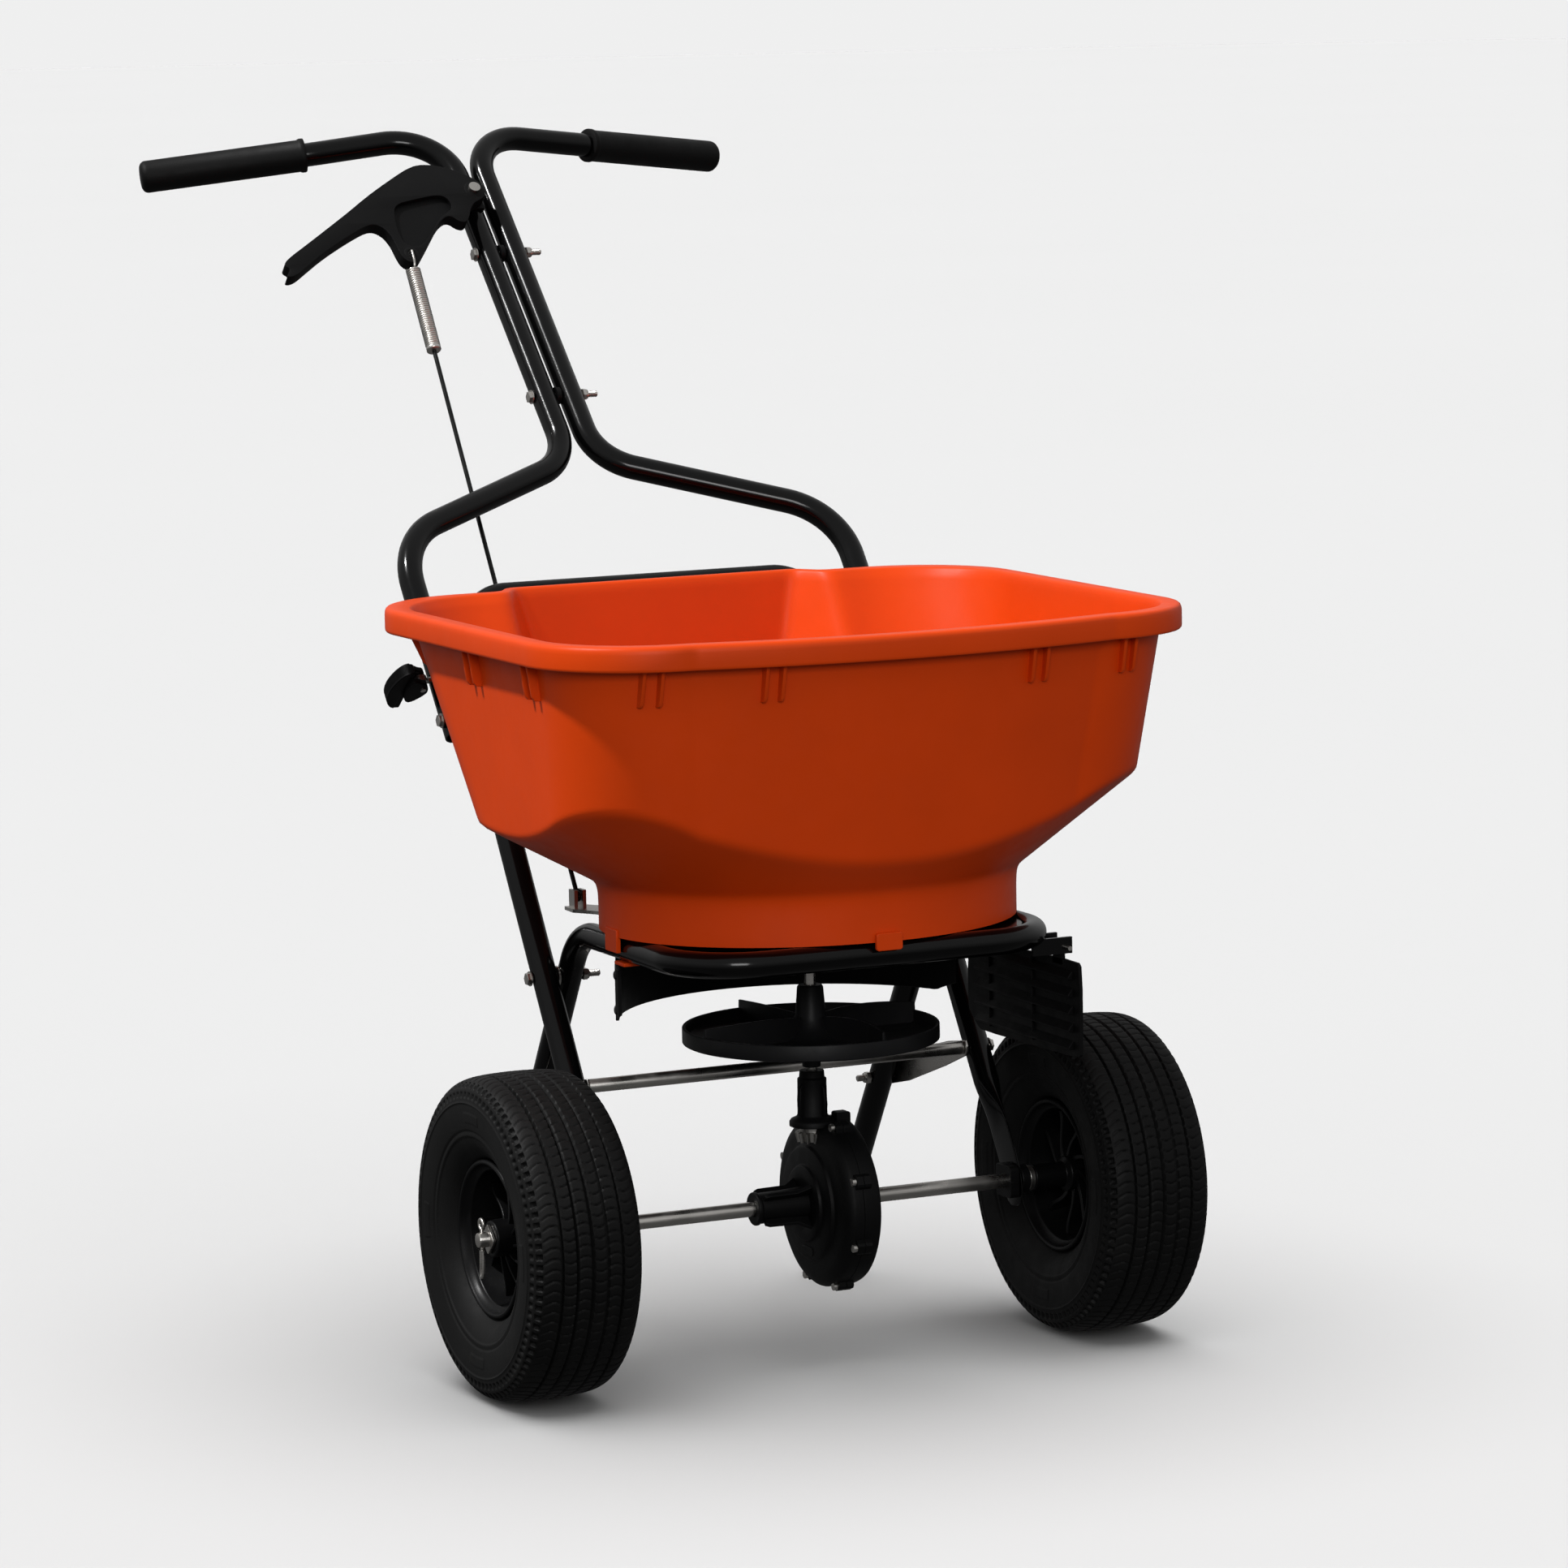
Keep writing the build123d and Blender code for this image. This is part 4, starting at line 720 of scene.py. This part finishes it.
edge_verts = LEVER_O + sum(np.outer(edge_verts[:, i], way) for i, way in enumerate((X, BAR_DIR, LEVER_N)))
lever_parts = [(edge_verts, edge_faces), prism(web, LEVER_O, X, BAR_DIR, -LEVER_WEB, LEVER_WEB)]
piece("lever_blade", merge(lever_parts), "control_lever", "black_plastic", "control_lever", angle=30,
      bevel=1.3, segments=3, weld=0.02)
bosses = []
for hole, r in ((PIVOT_HOLE, 9.5), (SPRING_HOLE, 7.0)):
    bosses.append(lathe([(-6.4, r - 1.2), (-6.4, 3.7), (6.4, 3.7), (6.4, r - 1.2), (5.9, r), (-5.9, r)],
                        lever_point(*hole), LEVER_N, 32, True))
piece("lever_bosses", merge(bosses), "control_lever", "black_plastic", angle=40)
rivet = lathe([(-7.4, 2.6), (-7.0, 3.4), (-6.2, 3.6), (6.2, 3.6), (7.0, 3.4), (7.4, 2.6)],
              lever_point(*PIVOT_HOLE), LEVER_N, 28)
piece("lever_rivet", rivet, "control_lever", "zinc", angle=40)

# ---------------------------------------------------------------- rod and spring
PIN = lever_point(*SPRING_HOLE)
ROD_LOW = vec(-141.0, 168.0, 390.0)
ROD_DIR = unit(ROD_LOW - PIN)
coil_u = unit(np.cross(ROD_DIR, LEVER_N))
coil_w = np.cross(ROD_DIR, coil_u)


def coil_point(s, r, a):
    return PIN + ROD_DIR * s + (coil_u * math.cos(a) + coil_w * math.sin(a)) * r


COIL_FROM, COIL_LEN, COIL_R = 15.0, 88.0, 5.8
wire = []
for k in range(13):
    a = math.pi * k / 12
    wire.append(PIN + LEVER_N * (8.7 * math.cos(a)) - ROD_DIR * 1.6 * math.sin(a))
ends = [[PIN + ROD_DIR * d + LEVER_N * (way * h) for d, h in ((10.0, 8.4), (13.0, 7.4), (COIL_FROM, 5.8))]
        for way in (1, -1)]
hook = sweep(np.array(ends[0][::-1] + wire + ends[1]), circle(1.2, 12))
turns, steps = 37, 24
coil = [coil_point(COIL_FROM + COIL_LEN * k / (turns * steps), COIL_R, 2 * math.pi * k / steps)
        for k in range(turns * steps + 1)]
coil_part = sweep(np.array(coil), circle(1.15, 8))
end_cap = lathe([(0, 2.2), (0, 6.0), (0.8, 6.8), (3.6, 6.8), (4.6, 5.6), (4.6, 2.2)],
                PIN + ROD_DIR * (COIL_FROM + COIL_LEN), ROD_DIR, 28)
inner_rod = rounded_rod(PIN + ROD_DIR * 20, PIN + ROD_DIR * 106, 3.6, 0.5, 16)
piece("spring_coil", merge([hook, coil_part, inner_rod, end_cap]), "control_rod", "zinc", "spring", angle=60)

eye = lathe([(-1.5, 2.3), (-1.5, 4.2), (-0.9, 4.9), (0.9, 4.9), (1.5, 4.2), (1.5, 2.3)], ROD_LOW, X, 28, True)
rod_main = sweep(np.array([PIN + ROD_DIR * 104, ROD_LOW - ROD_DIR * 4.4]), circle(2.0, 20))
piece("control_rod_wire", merge([rod_main, eye]), "control_rod", "frame_black", "control_rod", angle=60)

# ---------------------------------------------------------------- wheels
WHEEL_X = 266.0
TYRE_HALF_PROFILE = [(0, 138.0), (20, 137.7), (36, 136.2), (44, 133.0), (48.5, 126.5), (50, 117), (49.8, 106),
                     (48, 93), (44.5, 82.5), (39.5, 74.5), (34.5, 69.5), (31.5, 67.0)]


def bspline(points, n):
    """Uniform cubic B-spline with the points as its hull and both ends kept."""
    p = np.asarray(points, float)
    p = np.vstack([2 * p[0] - p[1], p, 2 * p[-1] - p[-2]])
    out = []
    for i in range(len(p) - 3):
        for t in np.linspace(0, 1, n, endpoint=False):
            c = ((1 - t) ** 3, 3 * t ** 3 - 6 * t ** 2 + 4, -3 * t ** 3 + 3 * t ** 2 + 3 * t + 1, t ** 3)
            out.append(sum(w * q for w, q in zip(c, p[i:i + 4])) / 6)
    return np.array(out + [p[-2]])


def soft_band(value, centre, half, edge=0.35):
    """1 within half of the centre and 0 outside, with a soft edge."""
    return 1 / (1 + np.exp(np.clip((np.abs(value - centre) - half) / edge * 3, -60, 60)))


def tyre(cx):
    """Tread blocks, grooves, shoulder notches and sidewall rings pressed into a smooth section."""
    half = bspline(TYRE_HALF_PROFILE, 12)
    prof = np.vstack([half[::-1] * (-1, 1), half[1:]])
    seg_len = np.r_[0, np.cumsum(np.linalg.norm(np.diff(prof, axis=0), axis=1))]
    total = seg_len[-1]
    s = np.arange(0, total, 0.95)
    s = np.r_[s, total]
    px, pr = np.interp(s, seg_len, prof[:, 0]), np.interp(s, seg_len, prof[:, 1])
    arc = s - total / 2
    tx, tr = np.gradient(px, s), np.gradient(pr, s)
    norm = np.hypot(tx, tr)
    nx, nr = -tr / norm, tx / norm
    blocks, per = 94, 9
    n = blocks * per
    theta = np.arange(n) * 2 * math.pi / n
    pitch = np.arange(n) / per
    across, around = np.meshgrid(arc, pitch, indexing="ij")
    off = np.abs(across)
    depth = np.zeros_like(across)
    for g in (0.0, 13.5, 27.0):
        depth = np.maximum(depth, 3.0 * soft_band(off, g, 0.95))
    wavy = around + 0.28 * np.sin(across * 2 * math.pi / 27.0)
    phase = np.abs((wavy % 1.0) - 0.5)
    sipe = 1 / (1 + np.exp((phase - 0.075) / 0.02))
    in_tread = 1 / (1 + np.exp((off - 42.5) / 0.4))
    depth = np.maximum(depth, 1.0 * sipe * in_tread)
    notch_phase = np.abs((around + 0.5) % 1.0 - 0.5)
    notch = 1 / (1 + np.exp((notch_phase - 0.24) / 0.02))
    depth = np.maximum(depth, 2.8 * notch * soft_band(off, 47.0, 2.6, 0.5))
    depth = np.maximum(depth, 1.8 * notch * soft_band(off, 56.0, 2.3, 0.5))
    relief = -depth
    relief = relief + 0.8 * soft_band(off, 62.5, 0.7, 0.5) + 0.7 * soft_band(off, 90.5, 0.9, 0.5)
    relief = relief - 0.7 * soft_band(off, 87.0, 0.8, 0.5)
    bars = (np.abs(((around / blocks * 4 + 0.5) % 1.0) - 0.5) < 0.09) & (np.abs(off - 75.0) < 4.0)
    relief = relief + np.where(bars, 0.45, 0.0)
    r_at = pr[:, None] + nr[:, None] * relief
    x_at = px[:, None] + nx[:, None] * relief
    verts = np.stack([cx + x_at, -r_at * np.cos(theta), AXLE_Z + r_at * np.sin(theta)], axis=2)
    rows = [verts.reshape(-1, 3)]
    bead = [(29.0, 66.2), (20.0, 66.6), (-20.0, 66.6), (-29.0, 66.2)]
    for bx, br in bead:
        rows.append(np.stack([np.full(n, cx + bx), -br * np.cos(theta), AXLE_Z + br * np.sin(theta)], axis=1))
    return np.vstack(rows), grid_faces(len(s) + 4, n, True, True)


RIM_HALF = [(0.0, 59.0), (14.0, 60.0), (26.0, 62.0), (30.0, 65.6), (33.6, 67.2), (35.6, 66.6), (36.6, 65.0),
            (36.2, 63.4), (34.4, 62.4), (31.0, 61.4), (29.2, 59.0), (28.2, 57.6), (22.0, 56.6), (8.0, 52.2),
            (3.0, 50.6)]
RIM = RIM_HALF + [(-a, r) for a, r in RIM_HALF[:0:-1]]


def rim(cx, s):
    """Barrel, hub and nine curved spokes; s is the side that faces out."""
    centre = (cx, 0, AXLE_Z)
    hub = [(-57.0, 10.2), (-56.2, 11.0), (-27.0, 11.0), (-24.0, 15.5), (33.0, 15.5), (34.0, 14.4),
           (34.0, 7.0), (-57.0, 7.0)]
    parts = [lathe(RIM, centre, X, 96, True), lathe([(a * s, r) for a, r in hub], centre, X, 48, True)]
    for k in range(9):
        base_a = 2 * math.pi * k / 9
        ring, m = [], 9
        for i in range(m):
            t = i / (m - 1)
            r = 14.0 + (55.0 - 14.0) * t
            a = base_a + 0.62 * math.sin(t * math.pi * 0.55) * s
            c = vec(0, math.cos(a), math.sin(a))
            tan = vec(0, -math.sin(a), math.cos(a))
            w = 2.6 - 0.5 * math.sin(math.pi * t)
            x_in, x_out = -20.0, 21.0 - 5.0 * t
            for dx, dw in ((x_in, -w), (x_out, -w * 0.55), (x_out, w * 0.55), (x_in, w)):
                ring.append(vec(cx, 0, AXLE_Z) + c * r + tan * dw + X * dx * s)
        faces = grid_faces(m, 4, True)
        faces += [[3, 2, 1, 0], [(m - 1) * 4 + j for j in range(4)]]
        parts.append((np.array(ring), faces))
    return merge(parts)


for name, s in SIDES:
    body = "drive_axle" if s < 0 else "free_wheel"
    piece("tyre_tread_" + name, tyre(s * WHEEL_X), body, "tyre_rubber", "tyre_" + name, angle=55)
    piece("rim_spoked_" + name, rim(s * WHEEL_X, s), body, "rim_plastic", "rim_" + name, angle=40, bevel=0.6)

# ---------------------------------------------------------------- axle, washers, pins
piece("axle_shaft", rounded_rod((-312, 0, AXLE_Z), (312, 0, AXLE_Z), 6.35, 1.2, 40), "drive_axle", "zinc",
      "axle")
parts = []
for _, s in SIDES:
    square = prism(rect_outline(19.0, 19.0, 2.5), (s * 301.7, 0, AXLE_Z), Y, Z, -1.3, 1.3)
    parts.append(turned(square, X, (s * 301.7, 0, AXLE_Z), 45))
    inner = [(0, 6.5), (0, 11.0), (4.6, 11.0), (4.6, 6.5)]
    parts.append(lathe(inner, (s * 203.7, 0, AXLE_Z), X * s, 40, True))
piece("hub_washer_set", merge(parts), "drive_axle", "zinc", "hub_washers", bevel=0.35)
parts = []
for _, s in SIDES:
    x = s * 308.0
    loop = [vec(x, 0, AXLE_Z - 9), vec(x, 0, AXLE_Z + 9.0)]
    for k in range(13):
        a = math.radians(-90 + 300 * k / 12)
        loop.append(vec(x, 4.2 * math.cos(a), AXLE_Z + 13.4 + 4.2 * math.sin(a)))
    parts.append(sweep(np.array(loop), circle(1.5, 14)))
    tail = [(x, -2.2, AXLE_Z - 9), (x, -2.4, AXLE_Z - 22), (x, -1.2, AXLE_Z - 31), (x, 2.8, AXLE_Z - 33),
            (x, 3.6, AXLE_Z - 29), (x, 2.4, AXLE_Z - 22), (x, 2.2, AXLE_Z - 9)]
    parts.append(sweep(bspline(tail, 5), circle(1.5, 12)))
piece("linch_pin_set", merge(parts), "drive_axle", "zinc", "linch_pins", angle=60)

for name, s in SIDES:
    flange = prism(rect_outline(28, 28, 4), (s * 186.2, 0, AXLE_Z), Y, Z, -4.2, 4.2)
    sleeve = lathe([(0, 6.6), (0, 12.2), (0.6, 12.8), (7.6, 12.8), (8.2, 12.0), (8.2, 6.6)],
                   (s * 194.8, 0, AXLE_Z), X * s, 40, True)
    neck = lathe([(0, 6.6), (0, 9.1), (6.0, 9.1), (6.0, 6.6)], (s * 189.8, 0, AXLE_Z), X * s, 32, True)
    rib = brick(s * 182, s * 190, -1.2, 1.2, AXLE_Z + 13.5, AXLE_Z + 14.6)
    ribs = [turned(rib, X, (0, 0, AXLE_Z), 90 * k) for k in range(4)]
    piece("bearing_block_" + name, merge([flange, sleeve, neck] + ribs), "frame", "black_plastic",
          "bearing_" + name, bevel=0.7)

# ---------------------------------------------------------------- gearbox
left_prof = [(-11.0, 19.0), (-11.6, 20.4), (-11.6, 31.0), (-10.8, 32.4), (-8.4, 33.4), (-8.0, 35.0),
             (-8.0, 47.0), (-7.2, 48.6), (-4.6, 50.0), (-4.0, 52.0), (-3.4, 60.0), (-2.2, 65.0), (0.2, 69.6),
             (3.2, 72.4), (5.0, 73.0), (12.9, 73.0), (12.9, 7.0), (-11.0, 7.0)]
right_prof = [(13.1, 73.0), (24.0, 73.0), (28.5, 71.5), (31.0, 67.0), (32.0, 60.0), (32.2, 30.0),
              (31.6, 26.0), (31.6, 7.0), (13.1, 7.0)]
centre = (0, 0, AXLE_Z)


def screw_lugs(x0, x1):
    """Eight screw lugs round the housing's edge."""
    r0, r1, w = 70.0, 78.0, 5.5
    outline = [(-w - 2, r0), (-w, r1 - 1.5), (-w + 2, r1), (w - 2, r1), (w, r1 - 1.5), (w + 2, r0)]
    lug = prism(outline, centre, Y, Z, x0, x1)
    return [turned(lug, X, centre, 22.5 + 45 * k) for k in range(8)]


left = [lathe(left_prof, centre, X, 96, True)]
left += screw_lugs(6.0, 12.9)
boss = [(-58.0, 7.0), (-58.0, 13.4), (-57.2, 14.4), (-54.6, 14.4), (-54.0, 13.2), (-30.0, 13.6), (-9.0, 15.0),
        (-6.0, 19.0), (-6.0, 7.0)]
left.append(lathe(boss, centre, X, 48, True))
for k in range(4):
    fin = prism([(-52.0, 12.5), (-52.0, 17.2), (-48.0, 19.0), (-22.0, 19.6), (-11.2, 26.0), (-11.2, 12.0)],
                centre, X, Z, -2.0, 2.0)
    left.append(turned(fin, X, centre, 45 + 90 * k))
turret = [(20.0, 202.0), (20.0, 206.0), (18.6, 208.0), (14.2, 210.0), (12.9, 212.0), (12.5, 238.0),
          (12.5, 243.0), (11.0, 244.0), (10.5, 250.0), (5.0, 250.0), (5.0, 202.0)]
left.append(lathe([(z, r) for r, z in turret], (0, 0, 0), Z, 48, True))
for a in (20, 110, 200, 290):
    fin = prism([(12.0, 211.0), (16.0, 212.0), (16.8, 222.0), (15.6, 236.0), (12.0, 240.0)], (0, 0, 0), X, Z,
                -1.8, 1.8)
    left.append(turned(fin, Z, (0, 0, 0), a))
left.append(prism(rect_outline(21.0, 7.0, 2.0), (-8.2, -2.0, AXLE_Z - 41.0), Y, Z, -0.5, 0.5))
piece("gearbox_cover_left", merge(left), "frame", "black_plastic", "gearbox_left", bevel=0.6)

right = [lathe(right_prof, centre, X, 96, True)]
right += screw_lugs(13.1, 20.0)
far_boss = [(31.0, 18.5), (34.0, 15.2), (45.0, 14.4), (46.0, 13.4), (46.0, 7.0), (31.0, 7.0)]
right.append(lathe(far_boss, centre, X, 48, True))
for k in range(6):
    fin = prism([(31.8, 15.0), (40.0, 15.0), (34.5, 40.0), (32.0, 48.0)], centre, X, Z, -1.6, 1.6)
    right.append(turned(fin, X, centre, 60 * k + 30))
right.append(prism(rect_outline(13.0, 15.0, 2.0), (22.5, -9.0, 206.0), X, Z, -6.0, 6.0))
piece("gearbox_cover_right", merge(right), "frame", "black_plastic", "gearbox_right", bevel=0.6)

# ---------------------------------------------------------------- impeller
disc = [(276.0, 8.2), (276.0, 20.0), (277.6, 24.0), (276.2, 60.0), (276.0, 100.0), (276.0, 108.4),
        (276.8, 110.0), (289.0, 110.0), (290.0, 109.4), (290.0, 107.4), (289.0, 106.8), (280.6, 106.6),
        (279.2, 104.0), (279.0, 30.0), (281.0, 24.0), (290.0, 16.5), (300.0, 13.0), (322.0, 11.2),
        (324.0, 10.0), (324.0, 4.9), (276.0, 4.9)]
hub = [(253.0, 4.9), (253.0, 7.4), (253.6, 8.0), (277.0, 8.0), (277.0, 4.9)]
imp = [lathe(disc, (0, 0, 0), Z, 96, True), lathe(hub, (0, 0, 0), Z, 40, True)]
for k in range(4):
    blade, m = [], 14
    for i in range(m):
        t = i / (m - 1)
        r = 9.0 + 99.5 * t
        a = math.radians(90 * k + 25 - 16 * t)
        c, tan = vec(math.cos(a), math.sin(a), 0), vec(-math.sin(a), math.cos(a), 0)
        h = 297.0 + 3.0 * math.sin(math.pi * t)
        for dz, w in ((278.5, 1.9), (h, 1.2), (h, -1.2), (278.5, -1.9)):
            blade.append(c * r + tan * w + vec(0, 0, dz))
    ends = [[0, 1, 2, 3], [(m - 1) * 4 + j for j in (3, 2, 1, 0)]]
    imp.append((np.array(blade), grid_faces(m, 4, True, flip=True) + ends))
piece("impeller_disc", merge(imp), "impeller_unit", "impeller_plastic", "impeller", bevel=0.4)
piece("shaft_nut", hex_part((0, 0, 313.4), Z, 9.0, 8.2, 1.2), "impeller_unit", "zinc", "shaft_collar",
      angle=30)
piece("shaft_rod", rounded_rod((0, 0, 186.5), (0, 0, 424.0), 4.76, 0.8, 28), "impeller_unit", "zinc",
      "impeller_shaft")

# ---------------------------------------------------------------- guard and deflector
GUARD_R, GUARD_T = 163.0, 3.0
GUARD_LOW, GUARD_TOP = 297.0, 345.0


def band(angles, lows, top, r0=GUARD_R, r1=GUARD_R + GUARD_T):
    """Strip round the impeller shaft with softened edges."""
    verts, m = [], 8
    e = 0.5
    for a, low in zip(angles, np.broadcast_to(lows, len(angles))):
        c = vec(math.cos(a), math.sin(a), 0)
        section = [(r0 + e, low), (r1 - e, low), (r1, low + e), (r1, top - e), (r1 - e, top), (r0 + e, top),
                   (r0, top - e), (r0, low + e)]
        verts += [c * r + vec(0, 0, z) for r, z in section]
    faces = grid_faces(len(angles), m, True, flip=True)
    faces.append(list(range(m)))
    faces.append([(len(angles) - 1) * m + j for j in range(m)][::-1])
    return np.array(verts), faces


def guard_band():
    """Curved guard behind the impeller, with four hanging tabs above it and two ribs."""
    around = np.linspace(math.radians(13.5), math.radians(166.5), 160)
    middle_r = GUARD_R + GUARD_T / 2
    x = middle_r * np.cos(around)
    parts = [band(around, GUARD_LOW + np.clip((np.abs(x) - 152.0) / 12.0, 0, 1) * 13.0, GUARD_TOP)]
    for s in (-1, 1):
        for xa, xb in ((144.0, 96.0), (74.0, 22.0)):
            t0, t1 = sorted((math.acos(s * xa / middle_r), math.acos(s * xb / middle_r)))
            parts.append(band(np.linspace(t0, t1, 20), GUARD_TOP - 1.0, 375.3))
    for z in (306.0, 336.0):
        parts.append(band(around[4:-4], z - 1.0, z + 1.0, GUARD_R + 2.6, GUARD_R + 4.4))
    return merge(parts)


piece("rear_guard_band", guard_band(), "frame", "black_plastic", "rear_guard", angle=40)

DX, HINGE_Z = 184.5, 356.0
PANEL = [(-139, 347), (-145, 341), (-145, 268), (-141, 264), (-60, 263), (38, 261.5), (46, 264), (62, 276),
         (64, 282), (64, 322), (58, 334), (46, 340), (-20, 343)]
defl = [prism(smooth_outline(PANEL, 1), (DX, 0, 0), Y, Z, -1.5, 1.5)]
for z in (274.0, 289.0, 304.0, 319.0, 334.0):
    slat = [(-1.2, z - 4.5), (-6.0, z - 3.4), (-6.0, z - 1.8), (-1.2, z + 4.2)]
    defl.append(prism(slat, (DX, 0, 0), X, Z, 132.0, -44.0))
for y in (-60.0, 20.0):
    defl.append(brick(DX - 3.6, DX - 1.0, y - 1.0, y + 1.0, 268, 341))
for y0, y1 in ((-114.0, -96.0), (24.0, 42.0)):
    defl.append(lathe([(0, 2.2), (0, 4.4), (0.6, 5.0), (y1 - y0 - 0.6, 5.0), (y1 - y0, 4.4), (y1 - y0, 2.2)],
                      (DX, y0, HINGE_Z), Y, 32, True))
    defl.append(brick(DX - 1.5, DX + 1.5, y0, y1, 340, HINGE_Z - 2.5))
piece("deflector_panel", merge(defl), "deflector", "black_plastic", "deflector", bevel=0.5)

# ---------------------------------------------------------------- fold levers
TUBE_DIR = unit(BAR_SIDE - BAR_END)
FOLD_DIR = vec(0, TUBE_DIR[2], -TUBE_DIR[1])
ARM = [(-2.0, -8.0), (3.0, -9.0), (9.0, -19.0), (16.0, -23.0), (23.0, -18.0), (27.5, -5.0), (29.0, 8.0),
       (27.0, 22.0), (21.0, 33.0), (13.0, 36.0), (7.0, 33.0), (5.0, 24.0), (1.0, 18.0), (-4.0, 12.0),
       (-7.0, 5.0)]
CHEEK = [(-2.0, -8.0), (3.0, -9.0), (8.0, -13.0), (14.0, -12.0), (16.0, 0.0), (14.0, 14.0), (9.0, 22.0),
         (3.0, 20.0), (-4.0, 12.0), (-7.0, 5.0)]
arm, cheek = smooth_outline(ARM), smooth_outline(CHEEK)
for name, s in SIDES:
    at = vec(s * 236.0, FOLD[0], FOLD[1])
    parts = [prism(cheek, at, X * s, FOLD_DIR, z0, z1) for z0, z1 in ((-9.0, -3.6), (3.6, 9.0))]
    for start, half in ((10.5, 5.2), (15.0, 6.0)):
        parts.append(prism([p for p in arm if p[0] > start], at, X * s, FOLD_DIR, -half, half))
    piece("cam_lever_" + name, merge(parts), "fold_lever_" + name, "black_plastic", "fold_lever_" + name,
          bevel=1.0)

# ---------------------------------------------------------------- CAD nodes that stay
for node, obj in frame["nodes"].items():
    if not obj.hide_render:
        obj.data.materials.clear()
        obj.data.materials.append(MATS[NODE_SLOT[node]])
        obj.data.shade_smooth()
        obj.data.set_sharp_from_angle(angle=math.radians(30))

# ---------------------------------------------------------------- floor, light and camera
def staged(name, verts, faces, material):
    """Mesh of the studio that throws no light back on the machine."""
    data = bpy.data.meshes.new(name)
    data.from_pydata(verts, [], faces)
    data.materials.append(material)
    obj = bpy.data.objects.new(name, data)
    bpy.context.scene.collection.objects.link(obj)
    obj.visible_diffuse = obj.visible_glossy = False
    return obj


def floor(reach):
    """Level floor out past the far wall."""
    corners = [(-reach, -reach, 0), (reach, -reach, 0), (reach, reach, 0), (-reach, reach, 0)]
    matte = shader("studio_floor", (0.62, 0.62, 0.62), 0.9, vary=0.002, rough_vary=0.02, spec=0.0, blotch=0.4)
    return staged("studio_floor", corners, [[0, 1, 2, 3]], matte)


def horizon(reach, height, glow, seg=72):
    """Round far wall that stands in for the bright background in level views."""
    verts = [(x, y, z) for z in (-1.0, height) for x, y in ring_points(reach, seg)]
    faces = [[k, (k + 1) % seg, seg + (k + 1) % seg, seg + k] for k in range(seg)]
    glowing = shader("studio_wall", (0.0, 0.0, 0.0), 0.95, vary=0.0, spec=0.0)
    bsdf = next(n for n in glowing.node_tree.nodes if n.type == "BSDF_PRINCIPLED")
    bsdf.inputs["Emission Color"].default_value = (1, 1, 1, 1)
    bsdf.inputs["Emission Strength"].default_value = glow
    staged("studio_wall", verts, faces, glowing).visible_shadow = False


ground = floor(80.0)
horizon(60.0, 80.0, 0.865)


def lamp(name, kind, power, place, target=(0, 0, 0)):
    """Light at a place, turned to a target."""
    light = bpy.data.lights.new(name, kind)
    light.energy = power
    obj = bpy.data.objects.new(name, light)
    obj.location = place
    obj.rotation_euler = (Vector(target) - Vector(place)).to_track_quat("-Z", "Y").to_euler()
    bpy.context.scene.collection.objects.link(obj)
    return obj


def linked(obj, name, state):
    """Gives a light its own list of what it shines on: the floor alone, or all but the floor."""
    group = bpy.data.collections.new(name)
    group.objects.link(ground)
    group.collection_objects[0].light_linking.link_state = state
    obj.light_linking.receiver_collection = group


ELEVATION, BEHIND = math.radians(57.0), math.radians(12.0)
key = lamp("key", "SUN", 3.7, (-4.0 * math.cos(ELEVATION) * math.cos(BEHIND),
                               4.0 * math.cos(ELEVATION) * math.sin(BEHIND), 4.0 * math.sin(ELEVATION)))
key.data.angle = math.radians(4.0)
fill = lamp("front_fill", "AREA", 60, (-1.6, -4.4, 1.9), (0, -0.2, 0.45))
fill.data.shape = "RECTANGLE"
fill.data.size, fill.data.size_y = 1.6, 1.2
overhead = lamp("overhead", "SUN", 2.84, (0.0, 0.0, 4.0))
overhead.data.angle = math.radians(70.0)
linked(key, "lit_by_key", "EXCLUDE")
linked(fill, "lit_by_fill", "EXCLUDE")
linked(overhead, "lit_from_above", "INCLUDE")

# The sky is dim below the horizon and brightens upwards.
world = bpy.data.worlds.new("studio")
world.use_nodes = True
world_nodes, world_links = world.node_tree.nodes, world.node_tree.links
direction = world_nodes.new("ShaderNodeTexCoord")
split = world_nodes.new("ShaderNodeSeparateXYZ")
sky = world_nodes.new("ShaderNodeMapRange")
for limit, value in (("From Min", -0.25), ("From Max", 0.35), ("To Min", 0.10), ("To Max", 0.50)):
    sky.inputs[limit].default_value = value
world_links.new(direction.outputs["Generated"], split.inputs[0])
world_links.new(split.outputs["Z"], sky.inputs["Value"])
world_links.new(sky.outputs[0], world_nodes["Background"].inputs[1])
world_nodes["Background"].inputs[0].default_value = (1.0, 1.0, 1.0, 1)
bpy.context.scene.world = world
bpy.context.scene.view_settings.view_transform = "Standard"

# The camera stands in front of the machine, to its left and a little above the handle.
CAMERA_AT, LOOK_AT, ROLL = (-2284.1, -4813.0, 1211.1), (-20.574, 0.0, 497.679), 1.1664
camera = bpy.data.cameras.new("camera")
camera.sensor_width = 36.0
camera.lens = 145.5
cam = bpy.data.objects.new("camera", camera)
bpy.context.scene.collection.objects.link(cam)
cam.location, target = [Vector((x, y + SHIFT, z + LIFT)) * MM for x, y, z in (CAMERA_AT, LOOK_AT)]
look = target - cam.location
roll = Matrix.Rotation(math.radians(ROLL), 3, look.normalized())
cam.rotation_mode = "QUATERNION"
cam.rotation_quaternion = (roll @ look.to_track_quat("-Z", "Y").to_matrix()).to_quaternion()
bpy.context.scene.camera = cam
